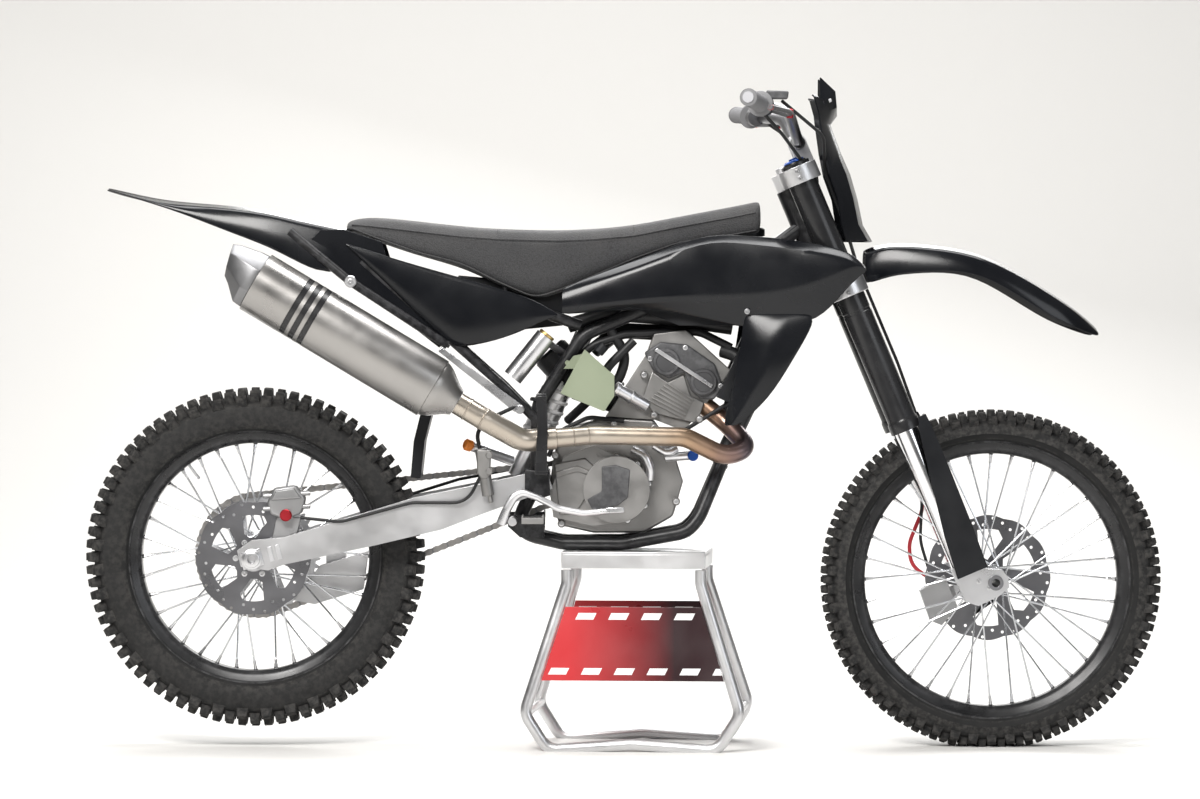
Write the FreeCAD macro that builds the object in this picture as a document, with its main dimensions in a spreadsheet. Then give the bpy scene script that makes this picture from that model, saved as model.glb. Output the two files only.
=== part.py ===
import FreeCAD, Part
import math
import os
from types import SimpleNamespace

import Sketcher
from FreeCAD import Placement, Rotation, Vector

# Dirt bike with its wheels at rest on a paddock stand.
# Frame: +X forward, +Y to the rider's left, +Z up, floor at Z = 0. All lengths in mm, angles in degrees.

SIZES = [
    ("wheelbase", 1470, "between the two axles"),
    ("rear_lift", 48, "clear height under the rear tyre on the stand"),
    ("front_tip_radius", 342, "front tyre, to the tips of its knobs"),
    ("rear_tip_radius", 340, "rear tyre, to the tips of its knobs"),
    ("front_knob_height", 12, ""),
    ("rear_knob_height", 16, ""),
    ("front_tyre_width", 88, "over the carcass"),
    ("rear_tyre_width", 106, "over the carcass"),
    ("front_flange_radius", 279, "21 inch rim, outside of its flanges"),
    ("rear_flange_radius", 254, "19 inch rim, outside of its flanges"),
    ("rim_depth", 27, "from flange edge to the spoke face"),
    ("rim_well", 17, "from flange edge to the bead seat"),
    ("bead_slope", 11, "from the flange edge inwards to the bead seat"),
    ("front_rim_width", 50, ""),
    ("rear_rim_width", 62, ""),
    ("front_pitches", 44, "knob pitches round the front tyre"),
    ("rear_pitches", 38, "knob pitches round the rear tyre"),
    ("spoke_side", 3, "across a spoke"),
    ("fit_gap", 0.3, "clearance between seated pieces"),
    ("running_gap", 0.08, "radial clearance of a shaft in its bearing"),
    ("front_axle_radius", 11, ""),
    ("front_axle_bore", 8, "radius of the hole through the front axle"),
    ("rear_axle_radius", 12.5, ""),
    ("rear_axle_bore", 7.5, "radius of the hole through the rear axle"),
    ("front_hub_flange", 31, "radius of a hub flange"),
    ("rear_hub_flange", 40, "radius of a hub flange"),
    ("front_hub_spread", 26, "front spoke flange from the centre plane"),
    ("rear_hub_spread", 34, "rear spoke flange from the centre plane"),
    ("front_hub_half", 70, "half length of the front hub"),
    ("rear_hub_half", 78, "half length of the rear hub"),
    ("front_disc_radius", 130, ""),
    ("front_disc_place", 67, "disc's distance left of the centre plane"),
    ("rear_disc_radius", 115, ""),
    ("rear_disc_place", 72, "disc's distance right of the centre plane"),
    ("disc_thickness", 4, ""),
    ("rake", 22.8, "fork angle from the vertical"),
    ("axle_lead", 45, "axle ahead of the fork legs"),
    ("clamp_offset", 22, "fork legs ahead of the steering axis"),
    ("leg_spacing", 210, "between the fork leg axes"),
    ("outer_leg_radius", 29, "black upper fork tube"),
    ("inner_leg_radius", 24, "chromed lower fork tube"),
    ("outer_leg_foot", 345, "lower end of the upper tube, above the axle along the leg"),
    ("lower_clamp_height", 650, "above the axle along the leg, to its middle"),
    ("upper_clamp_height", 893, "above the axle along the leg, to its middle"),
    ("clamp_thickness", 34, ""),
    ("stem_radius", 14, "steering stem"),
    ("head_tube_radius", 29, ""),
    ("bar_radius", 14.3, "handlebar over the clamp"),
    ("bar_end_radius", 11, "handlebar under the grips"),
    ("bar_half_width", 402, ""),
    ("bar_rise", 70, "bar end above the bar clamp"),
    ("grip_radius", 16.5, ""),
    ("grip_length", 118, ""),
    ("pivot_x", -172, "swingarm pivot, from the middle of the bike"),
    ("pivot_z", 540, "swingarm pivot, above the floor"),
    ("pivot_radius", 12, "swingarm pivot bolt"),
    ("arm_place", 101, "middle of each swingarm beam from the centre plane"),
    ("arm_thickness", 26, ""),
    ("sprocket_place", 68, "chain line's distance left of the centre plane"),
    ("sprocket_thickness", 5.8, ""),
    ("chain_pitch", 15.875, ""),
    ("rear_teeth", 48, ""),
    ("front_teeth", 13, ""),
    ("sprocket_ahead", 74, "countershaft ahead of the swingarm pivot"),
    ("sprocket_above", 4, "countershaft above the swingarm pivot"),
    ("frame_tube", 14, "radius of a frame tube"),
    ("frame_half", 64, "half distance between the lower cradle tubes"),
    ("post_half", 39, "half distance between the rear posts, inside the chain"),
    ("engine_half", 50, "half width of the crankcase"),
    ("muffler_radius", 62, ""),
    ("muffler_length", 470, ""),
    ("header_radius", 19, ""),
    ("mid_pipe_radius", 22.5, ""),
    ("seat_half", 76, "half width of the seat"),
    ("plastic", 3, "wall of the plastic panels"),
    ("stand_height", 402.8, "top of the stand's platform"),
    ("stand_plate", 34, "thickness of the platform"),
    ("stand_tube", 11.5, "radius of a stand tube"),
    ("stand_half_width", 140, "half distance between the stand's sides"),
    ("stand_turn", 5, "the stand's yaw under the bike"),
]

doc = FreeCAD.newDocument("DirtBike")
sheet = doc.addObject("Spreadsheet::Sheet", "Sizes")
for row, (alias, value, meaning) in enumerate(SIZES, start=1):
    sheet.set("A%d" % row, str(value))
    sheet.setAlias("A%d" % row, alias)
    sheet.set("B%d" % row, meaning)
doc.recompute()


class Size:
    """A number that keeps the expression it was worked out with."""

    def __init__(self, value, text):
        self.value = value
        self.text = text

    def join(self, other, sign, value):
        return Size(value, "(%s %s %s)" % (self.text, sign, other.text))

    def __add__(self, other):
        other = as_size(other)
        return self.join(other, "+", self.value + other.value)

    def __sub__(self, other):
        other = as_size(other)
        return self.join(other, "-", self.value - other.value)

    def __mul__(self, other):
        other = as_size(other)
        return self.join(other, "*", self.value * other.value)

    def __truediv__(self, other):
        other = as_size(other)
        return self.join(other, "/", self.value / other.value)

    def __neg__(self):
        return Size(-self.value, "(-%s)" % self.text)


def as_size(thing):
    return thing if isinstance(thing, Size) else Size(float(thing), "%r" % thing)


# s holds the sheet's numbers, e the same sizes as expressions on the sheet
s = SimpleNamespace(**{alias: float(sheet.get(alias)) for alias, _, _ in SIZES})
e = SimpleNamespace(**{alias: Size(float(sheet.get(alias)), "Sizes." + alias) for alias, _, _ in SIZES})
PARTS = []


def keep(thing, label):
    thing.Label = label
    PARTS.append(thing)
    return thing


def feature(label, shape, placement=Placement()):
    """A sub-part whose shape is worked out here from the sheet's sizes."""
    if shape.ShapeType == "Compound" and len(shape.Solids) == 1:
        shape = shape.Solids[0]
    thing = doc.addObject("Part::Feature", label)
    thing.Shape = shape
    thing.Placement = placement.multiply(thing.Placement)
    return keep(thing, label)


def sketch_on(body, role, points, name):
    """A closed outline of straight lines, each corner held by expressions on the sheet."""
    plane = [item for item in body.Origin.OriginFeatures if item.Role == role][0]
    sketch = body.newObject("Sketcher::SketchObject", name)
    sketch.AttachmentSupport = [(plane, "")]
    sketch.MapMode = "FlatFace"
    corners = [(as_size(u), as_size(v)) for u, v in points]
    count = len(corners)
    for i, (u, v) in enumerate(corners):
        u2, v2 = corners[(i + 1) % count]
        sketch.addGeometry(Part.LineSegment(Vector(u.value, v.value, 0), Vector(u2.value, v2.value, 0)))
    for i in range(count):
        sketch.addConstraint(Sketcher.Constraint("Coincident", i, 2, (i + 1) % count, 1))
    for i, corner in enumerate(corners):
        for kind, part in zip(("DistanceX", "DistanceY"), corner):
            index = sketch.addConstraint(Sketcher.Constraint(kind, i, 1, part.value))
            tag = "corner%d%s" % (i, kind[-1])
            sketch.renameConstraint(index, tag)
            sketch.setExpression("Constraints." + tag, part.text)
    return sketch


def turned(label, section, placement):
    """A piece turned about the Y axis; section holds (along the axis, radius) corners."""
    body = doc.addObject("PartDesign::Body", label)
    sketch = sketch_on(body, "YZ_Plane", section, label + "_section")
    turn = body.newObject("PartDesign::Revolution", label + "_turn")
    turn.Profile = sketch
    turn.ReferenceAxis = (sketch, ["H_Axis"])
    turn.Angle = 360
    body.Placement = placement
    return keep(body, label)


def at(x, y, z, turn=Rotation()):
    return Placement(Vector(x, y, z), turn)


def polygon(points):
    points = [Vector(*p) for p in points]
    return Part.makePolygon(points + points[:1])


def slab(outline, y0, y1):
    """A plate cut to an outline of (x, z) corners, from y0 to y1."""
    face = Part.Face(polygon([(x, y0, z) for x, z in outline]))
    return face.extrude(Vector(0, y1 - y0, 0))


def mirrored(shape):
    return shape.mirror(Vector(0, 0, 0), Vector(0, 1, 0))


def both(shape):
    return [shape, mirrored(shape)]


def fuse(shapes):
    result = shapes[0].multiFuse(shapes[1:]) if len(shapes) > 1 else shapes[0]
    result = result.removeSplitter()
    return result.Solids[0] if len(result.Solids) == 1 else result


def rod(start, end, radius, inner=0):
    start, end = Vector(*start), Vector(*end)
    along = end - start
    solid = Part.makeCylinder(radius, along.Length, start, along)
    if inner:
        solid = solid.cut(Part.makeCylinder(inner, along.Length, start, along))
    return solid


def hull_solid(rings):
    """A closed solid from a row of rings with the same number of corners, with flat ends."""
    faces = [rings[0], rings[-1][::-1]]
    count = len(rings[0])
    for first, second in zip(rings, rings[1:]):
        for i in range(count):
            m = (i + 1) % count
            quad = [first[i], first[m], second[m], second[i]]
            across = (quad[1] - quad[0]).cross(quad[2] - quad[0])
            flat = across.Length < 1e-9 or abs(across.normalize().dot(quad[3] - quad[0])) < 1e-4
            if flat:
                faces.append(quad)
            else:
                faces += [quad[:3], [quad[0], quad[2], quad[3]]]
    skins = []
    for ring in faces:
        corners = [p for k, p in enumerate(ring) if (p - ring[k - 1]).Length > 1e-6]
        if len(corners) > 2:
            skins.append(Part.Face(Part.makePolygon(corners + corners[:1])))
    solid = Part.Solid(Part.Shell(skins))
    if solid.Volume < 0:
        solid.reverse()
    return solid


def bent(points, radius, bend, sides=10):
    """A tube along straight runs; each corner is an arc of chords, mitred like lobster-back pipe."""
    points = [Vector(*p) for p in points]
    path = [points[0]]
    for before, corner, after in zip(points, points[1:], points[2:]):
        inward = (before - corner).normalize()
        outward = (after - corner).normalize()
        half = math.acos(max(-1, min(1, inward.dot(outward)))) / 2
        turn = math.pi - 2 * half
        reach = min(bend / math.tan(half), 0.45 * (before - corner).Length, 0.45 * (after - corner).Length)
        steps = max(1, math.ceil(turn / math.radians(32)))
        hub = corner + (inward + outward).normalize() * (reach / math.cos(half))
        first = corner + inward * reach - hub
        axis = inward.cross(outward)
        for k in range(steps + 1):
            spoke = Rotation(axis, -math.degrees(turn) * k / steps).multVec(first)
            path.append(hub + spoke)
    path.append(points[-1])
    along = (path[1] - path[0]).normalize()
    side = along.cross(Vector(0, 0, 1) if abs(along.z) < 0.9 else Vector(0, 1, 0)).normalize()
    up = along.cross(side)
    ring = []
    for i in range(sides):
        angle = 2 * math.pi * (i + 0.5) / sides
        ring.append(path[0] + side * (radius * math.cos(angle)) + up * (radius * math.sin(angle)))
    rings = [ring]
    for k in range(1, len(path)):
        along = (path[k] - path[k - 1]).normalize()
        ahead = (path[k + 1] - path[k]).normalize() if k + 1 < len(path) else along
        mitre = (along + ahead).normalize()
        ring = [q + along * ((path[k] - q).dot(mitre) / along.dot(mitre)) for q in ring]
        rings.append(ring)
    return hull_solid(rings)


def loft(sections):
    """A solid through closed sections of the same number of corners."""
    return hull_solid([[Vector(*p) for p in section] for section in sections])


def skin(rows, across, wall):
    """A thin shell through rows of points; each row is given its wall square to itself and to across."""
    sections = []
    for row in rows:
        line = [Vector(*p) for p in row]
        back = []
        for k, p in enumerate(line):
            normals = []
            for a, b in ((k - 1, k), (k, k + 1)):
                if a >= 0 and b < len(line):
                    normals.append((line[b] - line[a]).cross(across).normalize())
            mean = sum(normals[1:], normals[0]).normalize()
            back.append(p + mean * (wall / max(0.6, mean.dot(normals[0]))))
        sections.append(line + back[::-1])
    return hull_solid(sections)


# The lie of the machine: both axles, the fork and the swingarm
HALF_SPREAD = (s.wheelbase + s.front_tip_radius - s.rear_tip_radius) / 2
REAR_AXLE = Vector(-HALF_SPREAD, 0, s.rear_tip_radius + s.rear_lift)
FRONT_AXLE = Vector(s.wheelbase - HALF_SPREAD, 0, s.front_tip_radius)
PIVOT = Vector(s.pivot_x, 0, s.pivot_z)
RAKE = math.radians(s.rake)
LEG_UP = Vector(-math.sin(RAKE), 0, math.cos(RAKE))
LEG_AHEAD = Vector(math.cos(RAKE), 0, math.sin(RAKE))
LEG_FOOT = FRONT_AXLE - LEG_AHEAD * s.axle_lead


def on_fork(up, ahead, y):
    """A point on the fork: up along the legs from the axle's height, ahead of the leg axes."""
    p = LEG_FOOT + LEG_UP * up + LEG_AHEAD * ahead
    return (p.x, y, p.z)


def fork_place(up, ahead=0, y=0):
    """A placement whose Z axis runs up the fork and whose X axis points ahead."""
    return Placement(Vector(*on_fork(up, ahead, y)), Rotation(Vector(0, 1, 0), -s.rake))


REAR = at(REAR_AXLE.x, 0, REAR_AXLE.z)
FRONT = at(FRONT_AXLE.x, 0, FRONT_AXLE.z)


# Wheels
def ring_of_flats(section, flats):
    """A ring about the Y axis with the given (y, radius) section, in as many flats as the tyre has pitches."""
    step = 2 * math.pi / flats
    faces = []
    for k in range(flats):
        for (y0, r0), (y1, r1) in zip(section, section[1:] + section[:1]):
            quad = []
            for y, r, turn in ((y0, r0, k), (y1, r1, k), (y1, r1, k + 1), (y0, r0, k + 1)):
                angle = (turn % flats) * step
                quad.append(Vector(r * math.sin(angle), y, r * math.cos(angle)))
            faces.append(Part.Face(Part.makePolygon(quad + quad[:1])))
    solid = Part.Solid(Part.Shell(faces))
    if solid.Volume < 0:
        solid.reverse()
    return solid


def rim(label, place, flange_radius, width, flats):
    half = width / 2
    well = flange_radius - s.rim_well
    scale = 1 / math.cos(math.pi / flats)
    section = [
        (-half, flange_radius), (-half + s.bead_slope, well), (half - s.bead_slope, well),
        (half, flange_radius), (half - 12, flange_radius - s.rim_depth), (12 - half, flange_radius - s.rim_depth),
    ]
    feature(label, ring_of_flats([(y, r * scale) for y, r in section], flats), place)


def knobbed_tyre(label, place, tip, knob_height, width, flange_radius, rim_width, pitches, rows):
    """A polygonal carcass with a knob on chosen facets of every pitch.

    rows names, for each of the tread's facets, which pitches carry a knob: all, even, odd or none.
    """
    base = tip - knob_height
    half = width / 2
    seat = (flange_radius - s.rim_well + s.fit_gap) / math.cos(math.pi / pitches)
    bead = rim_width / 2 - s.bead_slope - 2 * s.fit_gap
    belly = (base + flange_radius) / 2 + 4
    section = [(-bead, seat), (-half, belly)]
    spread = [-1.0, -0.56, -0.3, 0.3, 0.56, 1.0]
    drop = [0.34, 0.075, 0.0, 0.0, 0.075, 0.34]
    section += [(half * a * 0.94, base - half * b) for a, b in zip(spread, drop)]
    section += [(half, belly), (bead, seat)]
    carries = ["none"] * 2 + rows + ["none"] * 3
    count = len(section)
    step = 2 * math.pi / pitches
    cut = 0.62

    def corner(j, angle_index):
        y, r = section[j % count]
        a = angle_index * step
        return Vector(r * math.sin(a), y, r * math.cos(a))

    def has_knob(j, k):
        kind = carries[j]
        return kind == "all" or (kind == "even" and k % 2 == 0) or (kind == "odd" and k % 2 == 1)

    faces = []
    for k in range(pitches):
        for j in range(count):
            near0, near1 = corner(j, k), corner(j, k + 1)
            far0, far1 = corner(j + 1, k), corner(j + 1, k + 1)
            near_split = has_knob(j, k) or has_knob((j - 1) % count, k)
            far_split = has_knob(j, k) or has_knob((j + 1) % count, k)
            near_mid = near0 + (near1 - near0) * cut
            far_mid = far0 + (far1 - far0) * cut
            if has_knob(j, k):
                normal = (near1 - near0).cross(far0 - near0).normalize()
                middle = (near0 + near_mid + far0 + far_mid) * 0.25
                if normal.dot(Vector(middle.x, 0, middle.z)) < 0:
                    normal = normal * -1
                base_ring = [near0, near_mid, far_mid, far0]
                top_ring = [middle + (p - middle) * 0.86 + normal * knob_height for p in base_ring]
                faces.append(top_ring)
                for i in range(4):
                    m = (i + 1) % 4
                    faces.append([base_ring[i], base_ring[m], top_ring[m], top_ring[i]])
                faces.append([near_mid, near1, far1, far_mid])
            else:
                ring = [near0] + ([near_mid] if near_split else []) + [near1]
                ring += [far1] + ([far_mid] if far_split else []) + [far0]
                faces.append(ring)
    shell = Part.Shell([Part.Face(Part.makePolygon(ring + ring[:1])) for ring in faces])
    solid = Part.Solid(shell)
    if solid.Volume < 0:
        solid.reverse()
    feature(label, solid, place)


FLANGE_HALF = 4.6


def spokes(hub_radius, rim_radius, flange, spread):
    """36 straight spokes, crossing on each side of the hub."""
    side = s.spoke_side
    lead = math.radians(58)
    solids = []
    for i in range(36):
        hand = 1 if i % 2 == 0 else -1
        way = 1 if (i // 2) % 2 == 0 else -1
        rim_angle = math.radians(10 * i)
        hub_angle = rim_angle + way * lead
        y_hub = hand * (flange + way * FLANGE_HALF / 2)
        start = Vector(hub_radius * math.cos(hub_angle), y_hub, hub_radius * math.sin(hub_angle))
        end = Vector(rim_radius * math.cos(rim_angle), hand * spread, rim_radius * math.sin(rim_angle))
        along = end - start
        box = Part.makeBox(side, side, along.Length, Vector(-side / 2, -side / 2, 0))
        box.Placement = Placement(start, Rotation(Vector(0, 0, 1), along))
        solids.append(box)
    return solids


def wavy(radius, depth, waves):
    """A round outline with shallow scallops, as (x, z) corners."""
    corners = []
    for i in range(4 * waves):
        r = radius - (depth if i % 4 in (2, 3) else 0)
        angle = 2 * math.pi * i / (4 * waves)
        corners.append((r * math.cos(angle), r * math.sin(angle)))
    return corners


def ring_disc(radius, inner, y, bore, waves):
    """A brake disc: a scalloped ring, a round carrier and six arms between them."""
    half = s.disc_thickness / 2
    ring = slab(wavy(radius, 3, waves), y - half, y + half)
    ring = ring.cut(slab(wavy(inner, 0, 9), y - half, y + half))
    parts = [ring, slab(wavy(bore + 12, 0, 5), y - half, y + half)]
    for i in range(6):
        arm = Part.makeBox(inner - bore, 2 * half, 14, Vector(bore + 6, y - half, -7))
        arm.rotate(Vector(0, 0, 0), Vector(0, 1, 0), 60 * i)
        parts.append(arm)
    return fuse(parts).cut(Part.makeCylinder(bore, 2 * half, Vector(0, y - half, 0), Vector(0, 1, 0)))


def toothed(teeth, thickness, y, bore, spiders):
    """A chain wheel whose gaps lie at whole steps from the +X direction."""
    radius = s.chain_pitch / (2 * math.sin(math.pi / teeth))
    step = 2 * math.pi / teeth
    outline = []
    for i in range(int(teeth)):
        middle = (i + 0.5) * step
        for r, half in ((radius - 5.6, 0.30), (radius + 4.2, 0.10)):
            outline.append((r, middle - half * step))
        for r, half in ((radius + 4.2, 0.10), (radius - 5.6, 0.30)):
            outline.append((r, middle + half * step))
    points = [(r * math.cos(a), r * math.sin(a)) for r, a in outline]
    body = slab(points, y - thickness / 2, y + thickness / 2)
    body = body.cut(Part.makeCylinder(bore, thickness, Vector(0, y - thickness / 2, 0), Vector(0, 1, 0)))
    for i in range(spiders):
        start = 2 * math.pi * i / spiders
        window = []
        for r, turns in ((bore + 16, (0.16, 0.5, 0.84)), (radius - 15, (0.88, 0.5, 0.12))):
            for turn in turns:
                angle = start + turn * 2 * math.pi / spiders
                window.append((r * math.cos(angle), r * math.sin(angle)))
        body = body.cut(slab(window, y - thickness, y + thickness))
    return body


SPOKE_GAP = s.fit_gap + 0.12 * s.spoke_side
knobbed_tyre("front_tyre", FRONT, s.front_tip_radius, s.front_knob_height, s.front_tyre_width,
             s.front_flange_radius, s.front_rim_width, int(s.front_pitches),
             ["all", "none", "even", "none", "all"])
knobbed_tyre("rear_tyre", REAR, s.rear_tip_radius, s.rear_knob_height, s.rear_tyre_width,
             s.rear_flange_radius, s.rear_rim_width, int(s.rear_pitches),
             ["all", "odd", "even", "odd", "all"])
rim("front_rim", FRONT, s.front_flange_radius, s.front_rim_width, int(s.front_pitches))
rim("rear_rim", REAR, s.rear_flange_radius, s.rear_rim_width, int(s.rear_pitches))


def hub(label, place, half, flange_radius, flange, bore, waist, rim_radius, spread):
    section = [
        (-half, bore), (-half, waist), (-flange - FLANGE_HALF, waist), (-flange - FLANGE_HALF, flange_radius),
        (-flange + FLANGE_HALF, flange_radius), (-flange + FLANGE_HALF, waist - 4),
        (flange - FLANGE_HALF, waist - 4), (flange - FLANGE_HALF, flange_radius),
        (flange + FLANGE_HALF, flange_radius), (flange + FLANGE_HALF, waist), (half, waist), (half, bore),
    ]
    outline = Part.Face(polygon([(0, y, r) for y, r in section]))
    shell = outline.revolve(Vector(0, 0, 0), Vector(0, 1, 0), 360)
    feature(label, fuse([shell] + spokes(flange_radius - 4, rim_radius, flange, spread)), place)


FRONT_WAIST = s.front_axle_radius + 9
REAR_WAIST = s.rear_axle_radius + 14
hub("front_hub", FRONT, s.front_hub_half, s.front_hub_flange, s.front_hub_spread,
    s.front_axle_radius + s.running_gap, FRONT_WAIST, s.front_flange_radius - s.rim_depth - SPOKE_GAP, 6)
hub("rear_hub", REAR, s.rear_hub_half, s.rear_hub_flange, s.rear_hub_spread,
    s.rear_axle_radius + s.running_gap, REAR_WAIST, s.rear_flange_radius - s.rim_depth - SPOKE_GAP, 8)
feature("front_disc", ring_disc(s.front_disc_radius, s.front_disc_radius - 28, s.front_disc_place,
                                FRONT_WAIST + s.fit_gap, 12), FRONT)
feature("rear_disc", ring_disc(s.rear_disc_radius, s.rear_disc_radius - 28, -s.rear_disc_place,
                               REAR_WAIST + s.fit_gap, 10), REAR)
feature("rear_sprocket", toothed(int(s.rear_teeth), s.sprocket_thickness, s.sprocket_place,
                                 REAR_WAIST + s.fit_gap, 6), REAR)


# Chain: pitch points round both sprockets, then links between them
def pitch_radius(teeth):
    return s.chain_pitch / (2 * math.sin(math.pi / teeth))


FRONT_SPROCKET = PIVOT + Vector(s.sprocket_ahead, 0, s.sprocket_above)
RUN = FRONT_SPROCKET - REAR_AXLE
RUN_ANGLE = math.atan2(RUN.z, RUN.x)
BIG, SMALL = pitch_radius(int(s.rear_teeth)), pitch_radius(int(s.front_teeth))
LEAN = math.asin((BIG - SMALL) / RUN.Length)
TOP_ANGLE = RUN_ANGLE + math.pi / 2 - LEAN
LOW_ANGLE = RUN_ANGLE - math.pi / 2 + LEAN


def on_circle(centre, radius, angle):
    return Vector(centre.x + radius * math.cos(angle), 0, centre.z + radius * math.sin(angle))


def chain_points():
    """The joints of the links; the first wrap steps from tooth gap to tooth gap."""
    step = 2 * math.pi / s.rear_teeth
    first = math.floor(TOP_ANGLE / step)
    last = math.ceil((LOW_ANGLE + 2 * math.pi) / step)
    rear = [on_circle(REAR_AXLE, BIG, i * step) for i in range(first, last + 1)]
    small_step = 2 * math.pi / s.front_teeth
    wraps = int((TOP_ANGLE - LOW_ANGLE) / small_step)
    middle = RUN_ANGLE
    front = [on_circle(FRONT_SPROCKET, SMALL, middle + (i - wraps / 2) * small_step) for i in range(wraps + 1)]
    lower = max(1, round((front[0] - rear[-1]).Length / s.chain_pitch))
    upper = max(1, round((rear[0] - front[-1]).Length / s.chain_pitch))
    if (len(rear) - 1 + len(front) - 1 + lower + upper) % 2:
        upper += 1
    points = list(rear)
    points += [rear[-1] + (front[0] - rear[-1]) * (i / lower) for i in range(1, lower)]
    points += front
    points += [front[-1] + (rear[0] - front[-1]) * (i / upper) for i in range(1, upper)]
    return points, len(rear), len(front), lower


POINTS, REAR_WRAP, FRONT_WRAP, LOWER_LINKS = chain_points()
FRONT_PHASE = math.atan2(POINTS[REAR_WRAP - 1 + LOWER_LINKS].z - FRONT_SPROCKET.z,
                         POINTS[REAR_WRAP - 1 + LOWER_LINKS].x - FRONT_SPROCKET.x)


def band(points, closed, outer, inner, y0, y1):
    """A strip that follows the pitch points, outer beyond them and inner short of them."""
    count = len(points)
    rims = ([], [])
    for i, p in enumerate(points):
        before = points[(i - 1) % count] if closed or i > 0 else p
        after = points[(i + 1) % count] if closed or i < count - 1 else p
        along = (after - before).normalize()
        away = Vector(along.z, 0, -along.x)
        for rim_points, reach in zip(rims, (outer, -inner)):
            q = p + away * reach
            rim_points.append((q.x, q.z))
    if closed:
        return slab(rims[0], y0, y1).cut(slab(rims[1], y0, y1))
    return slab(rims[0] + rims[1][::-1], y0, y1)


def chain():
    """Two rows of plates with rollers between them where the sprockets' teeth enter."""
    y = s.sprocket_place
    core = s.sprocket_thickness / 2 + 0.7
    reach = 6.2
    side = core + 2
    body = band(POINTS, True, reach, reach, y - side, y + side)
    total = len(POINTS)
    start = REAR_WRAP - 1 + LOWER_LINKS
    for first, last in ((-3, REAR_WRAP + 3), (start - 2, start + FRONT_WRAP + 2)):
        run = [POINTS[i % total] for i in range(first, last)]
        body = body.cut(band(run, False, reach + 1, reach + 1, y - core, y + core))
        for p in run[1:-1]:
            ring = [(p.x + 4.2 * math.cos(a * math.pi / 2), p.z + 4.2 * math.sin(a * math.pi / 2))
                    for a in range(4)]
            body = body.fuse(slab(ring, y - core, y + core))
    return body.removeSplitter()


feature("chain", chain())
front_sprocket = toothed(int(s.front_teeth), s.sprocket_thickness, s.sprocket_place, 10, 0)
front_sprocket.rotate(Vector(0, 0, 0), Vector(0, 1, 0), -math.degrees(FRONT_PHASE))
feature("countershaft_sprocket", front_sprocket, at(FRONT_SPROCKET.x, 0, FRONT_SPROCKET.z))


# Axles
def hollow(label, half, radius, bore, place, head, collars):
    """A hollow axle with a flanged head at its right end and the collars that space the hub."""
    parts = [rod((0, -half, 0), (0, half, 0), radius)]
    parts.append(rod((0, -half - 6, 0), (0, -half, 0), head))
    for start, end in collars:
        parts.append(rod((0, start, 0), (0, end, 0), radius + 5))
    feature(label, fuse(parts).cut(rod((0, -half - 7, 0), (0, half + 1, 0), bore)), place)


LUG_HALF = 24
LEG_Y = s.leg_spacing / 2
SEAT = s.fit_gap
ARM_IN = s.arm_place - s.arm_thickness / 2
ARM_OUT = s.arm_place + s.arm_thickness / 2
CALIPER_PLATE = 5.5
front_collar = (s.front_hub_half + SEAT, LEG_Y - LUG_HALF - SEAT)
rear_collar = (s.rear_hub_half + SEAT, ARM_IN - SEAT)
hollow("front_axle", LEG_Y + LUG_HALF + SEAT, s.front_axle_radius, s.front_axle_bore, FRONT, 15,
       [front_collar, (-front_collar[1], -front_collar[0])])
hollow("rear_axle", ARM_OUT + SEAT, s.rear_axle_radius, s.rear_axle_bore, REAR, 18,
       [rear_collar, (-rear_collar[1] + CALIPER_PLATE + SEAT, -rear_collar[0])])

# Fork, in its own axes: X ahead, Y left, Z up the legs
FORK = fork_place(0)


LUG_TOP = 58
lugs, feet, tubes, guards = [], [], [], []
for y in (-LEG_Y, LEG_Y):
    lug = slab([(-26, LUG_TOP), (26, LUG_TOP), (34, 34), (66, 19), (72, 0), (66, -19), (40, -27), (-4, -29),
                (-24, -12)], y - LUG_HALF, y + LUG_HALF)
    lug = lug.cut(rod((s.axle_lead, y - 60, 0), (s.axle_lead, y + 60, 0), s.front_axle_radius + SEAT))
    lugs.append(lug)
    feet.append(Part.makeCylinder(s.inner_leg_radius, s.outer_leg_foot - LUG_TOP, Vector(0, y, LUG_TOP)))
    top = s.upper_clamp_height + s.clamp_thickness / 2 + 9 - s.outer_leg_foot
    tube = Part.makeCylinder(s.outer_leg_radius, top, Vector(0, y, s.outer_leg_foot))
    collar = Part.makeCylinder(s.outer_leg_radius + 2.5, 26, Vector(0, y, s.outer_leg_foot))
    tubes.append(fuse([tube, collar]))
    way = 1 if y > 0 else -1
    rows = []
    for up, ahead, behind in ((36, 42, -22), (122, 46, -14), (234, 48, 4), (338, 48, 22), (362, 46, 30)):
        rows.append([(ahead, y - way * 16, up), (ahead, y + way * 30, up), (behind, y + way * 34, up),
                     (behind, y + way * 31, up), (ahead - 4, y + way * 27, up), (ahead - 4, y - way * 16, up)])
    peg = rod((8, y + way * (LUG_HALF + SEAT), 44), (8, y + way * 30, 44), 5)
    guards.append(fuse([loft(rows), peg]))
feature("axle_lugs", Part.makeCompound(lugs), FORK)
feature("fork_inner_tubes", Part.makeCompound(feet), FORK)
feature("fork_outer_tubes", Part.makeCompound(tubes), FORK)
feature("fork_guards", Part.makeCompound(guards), FORK)


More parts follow.
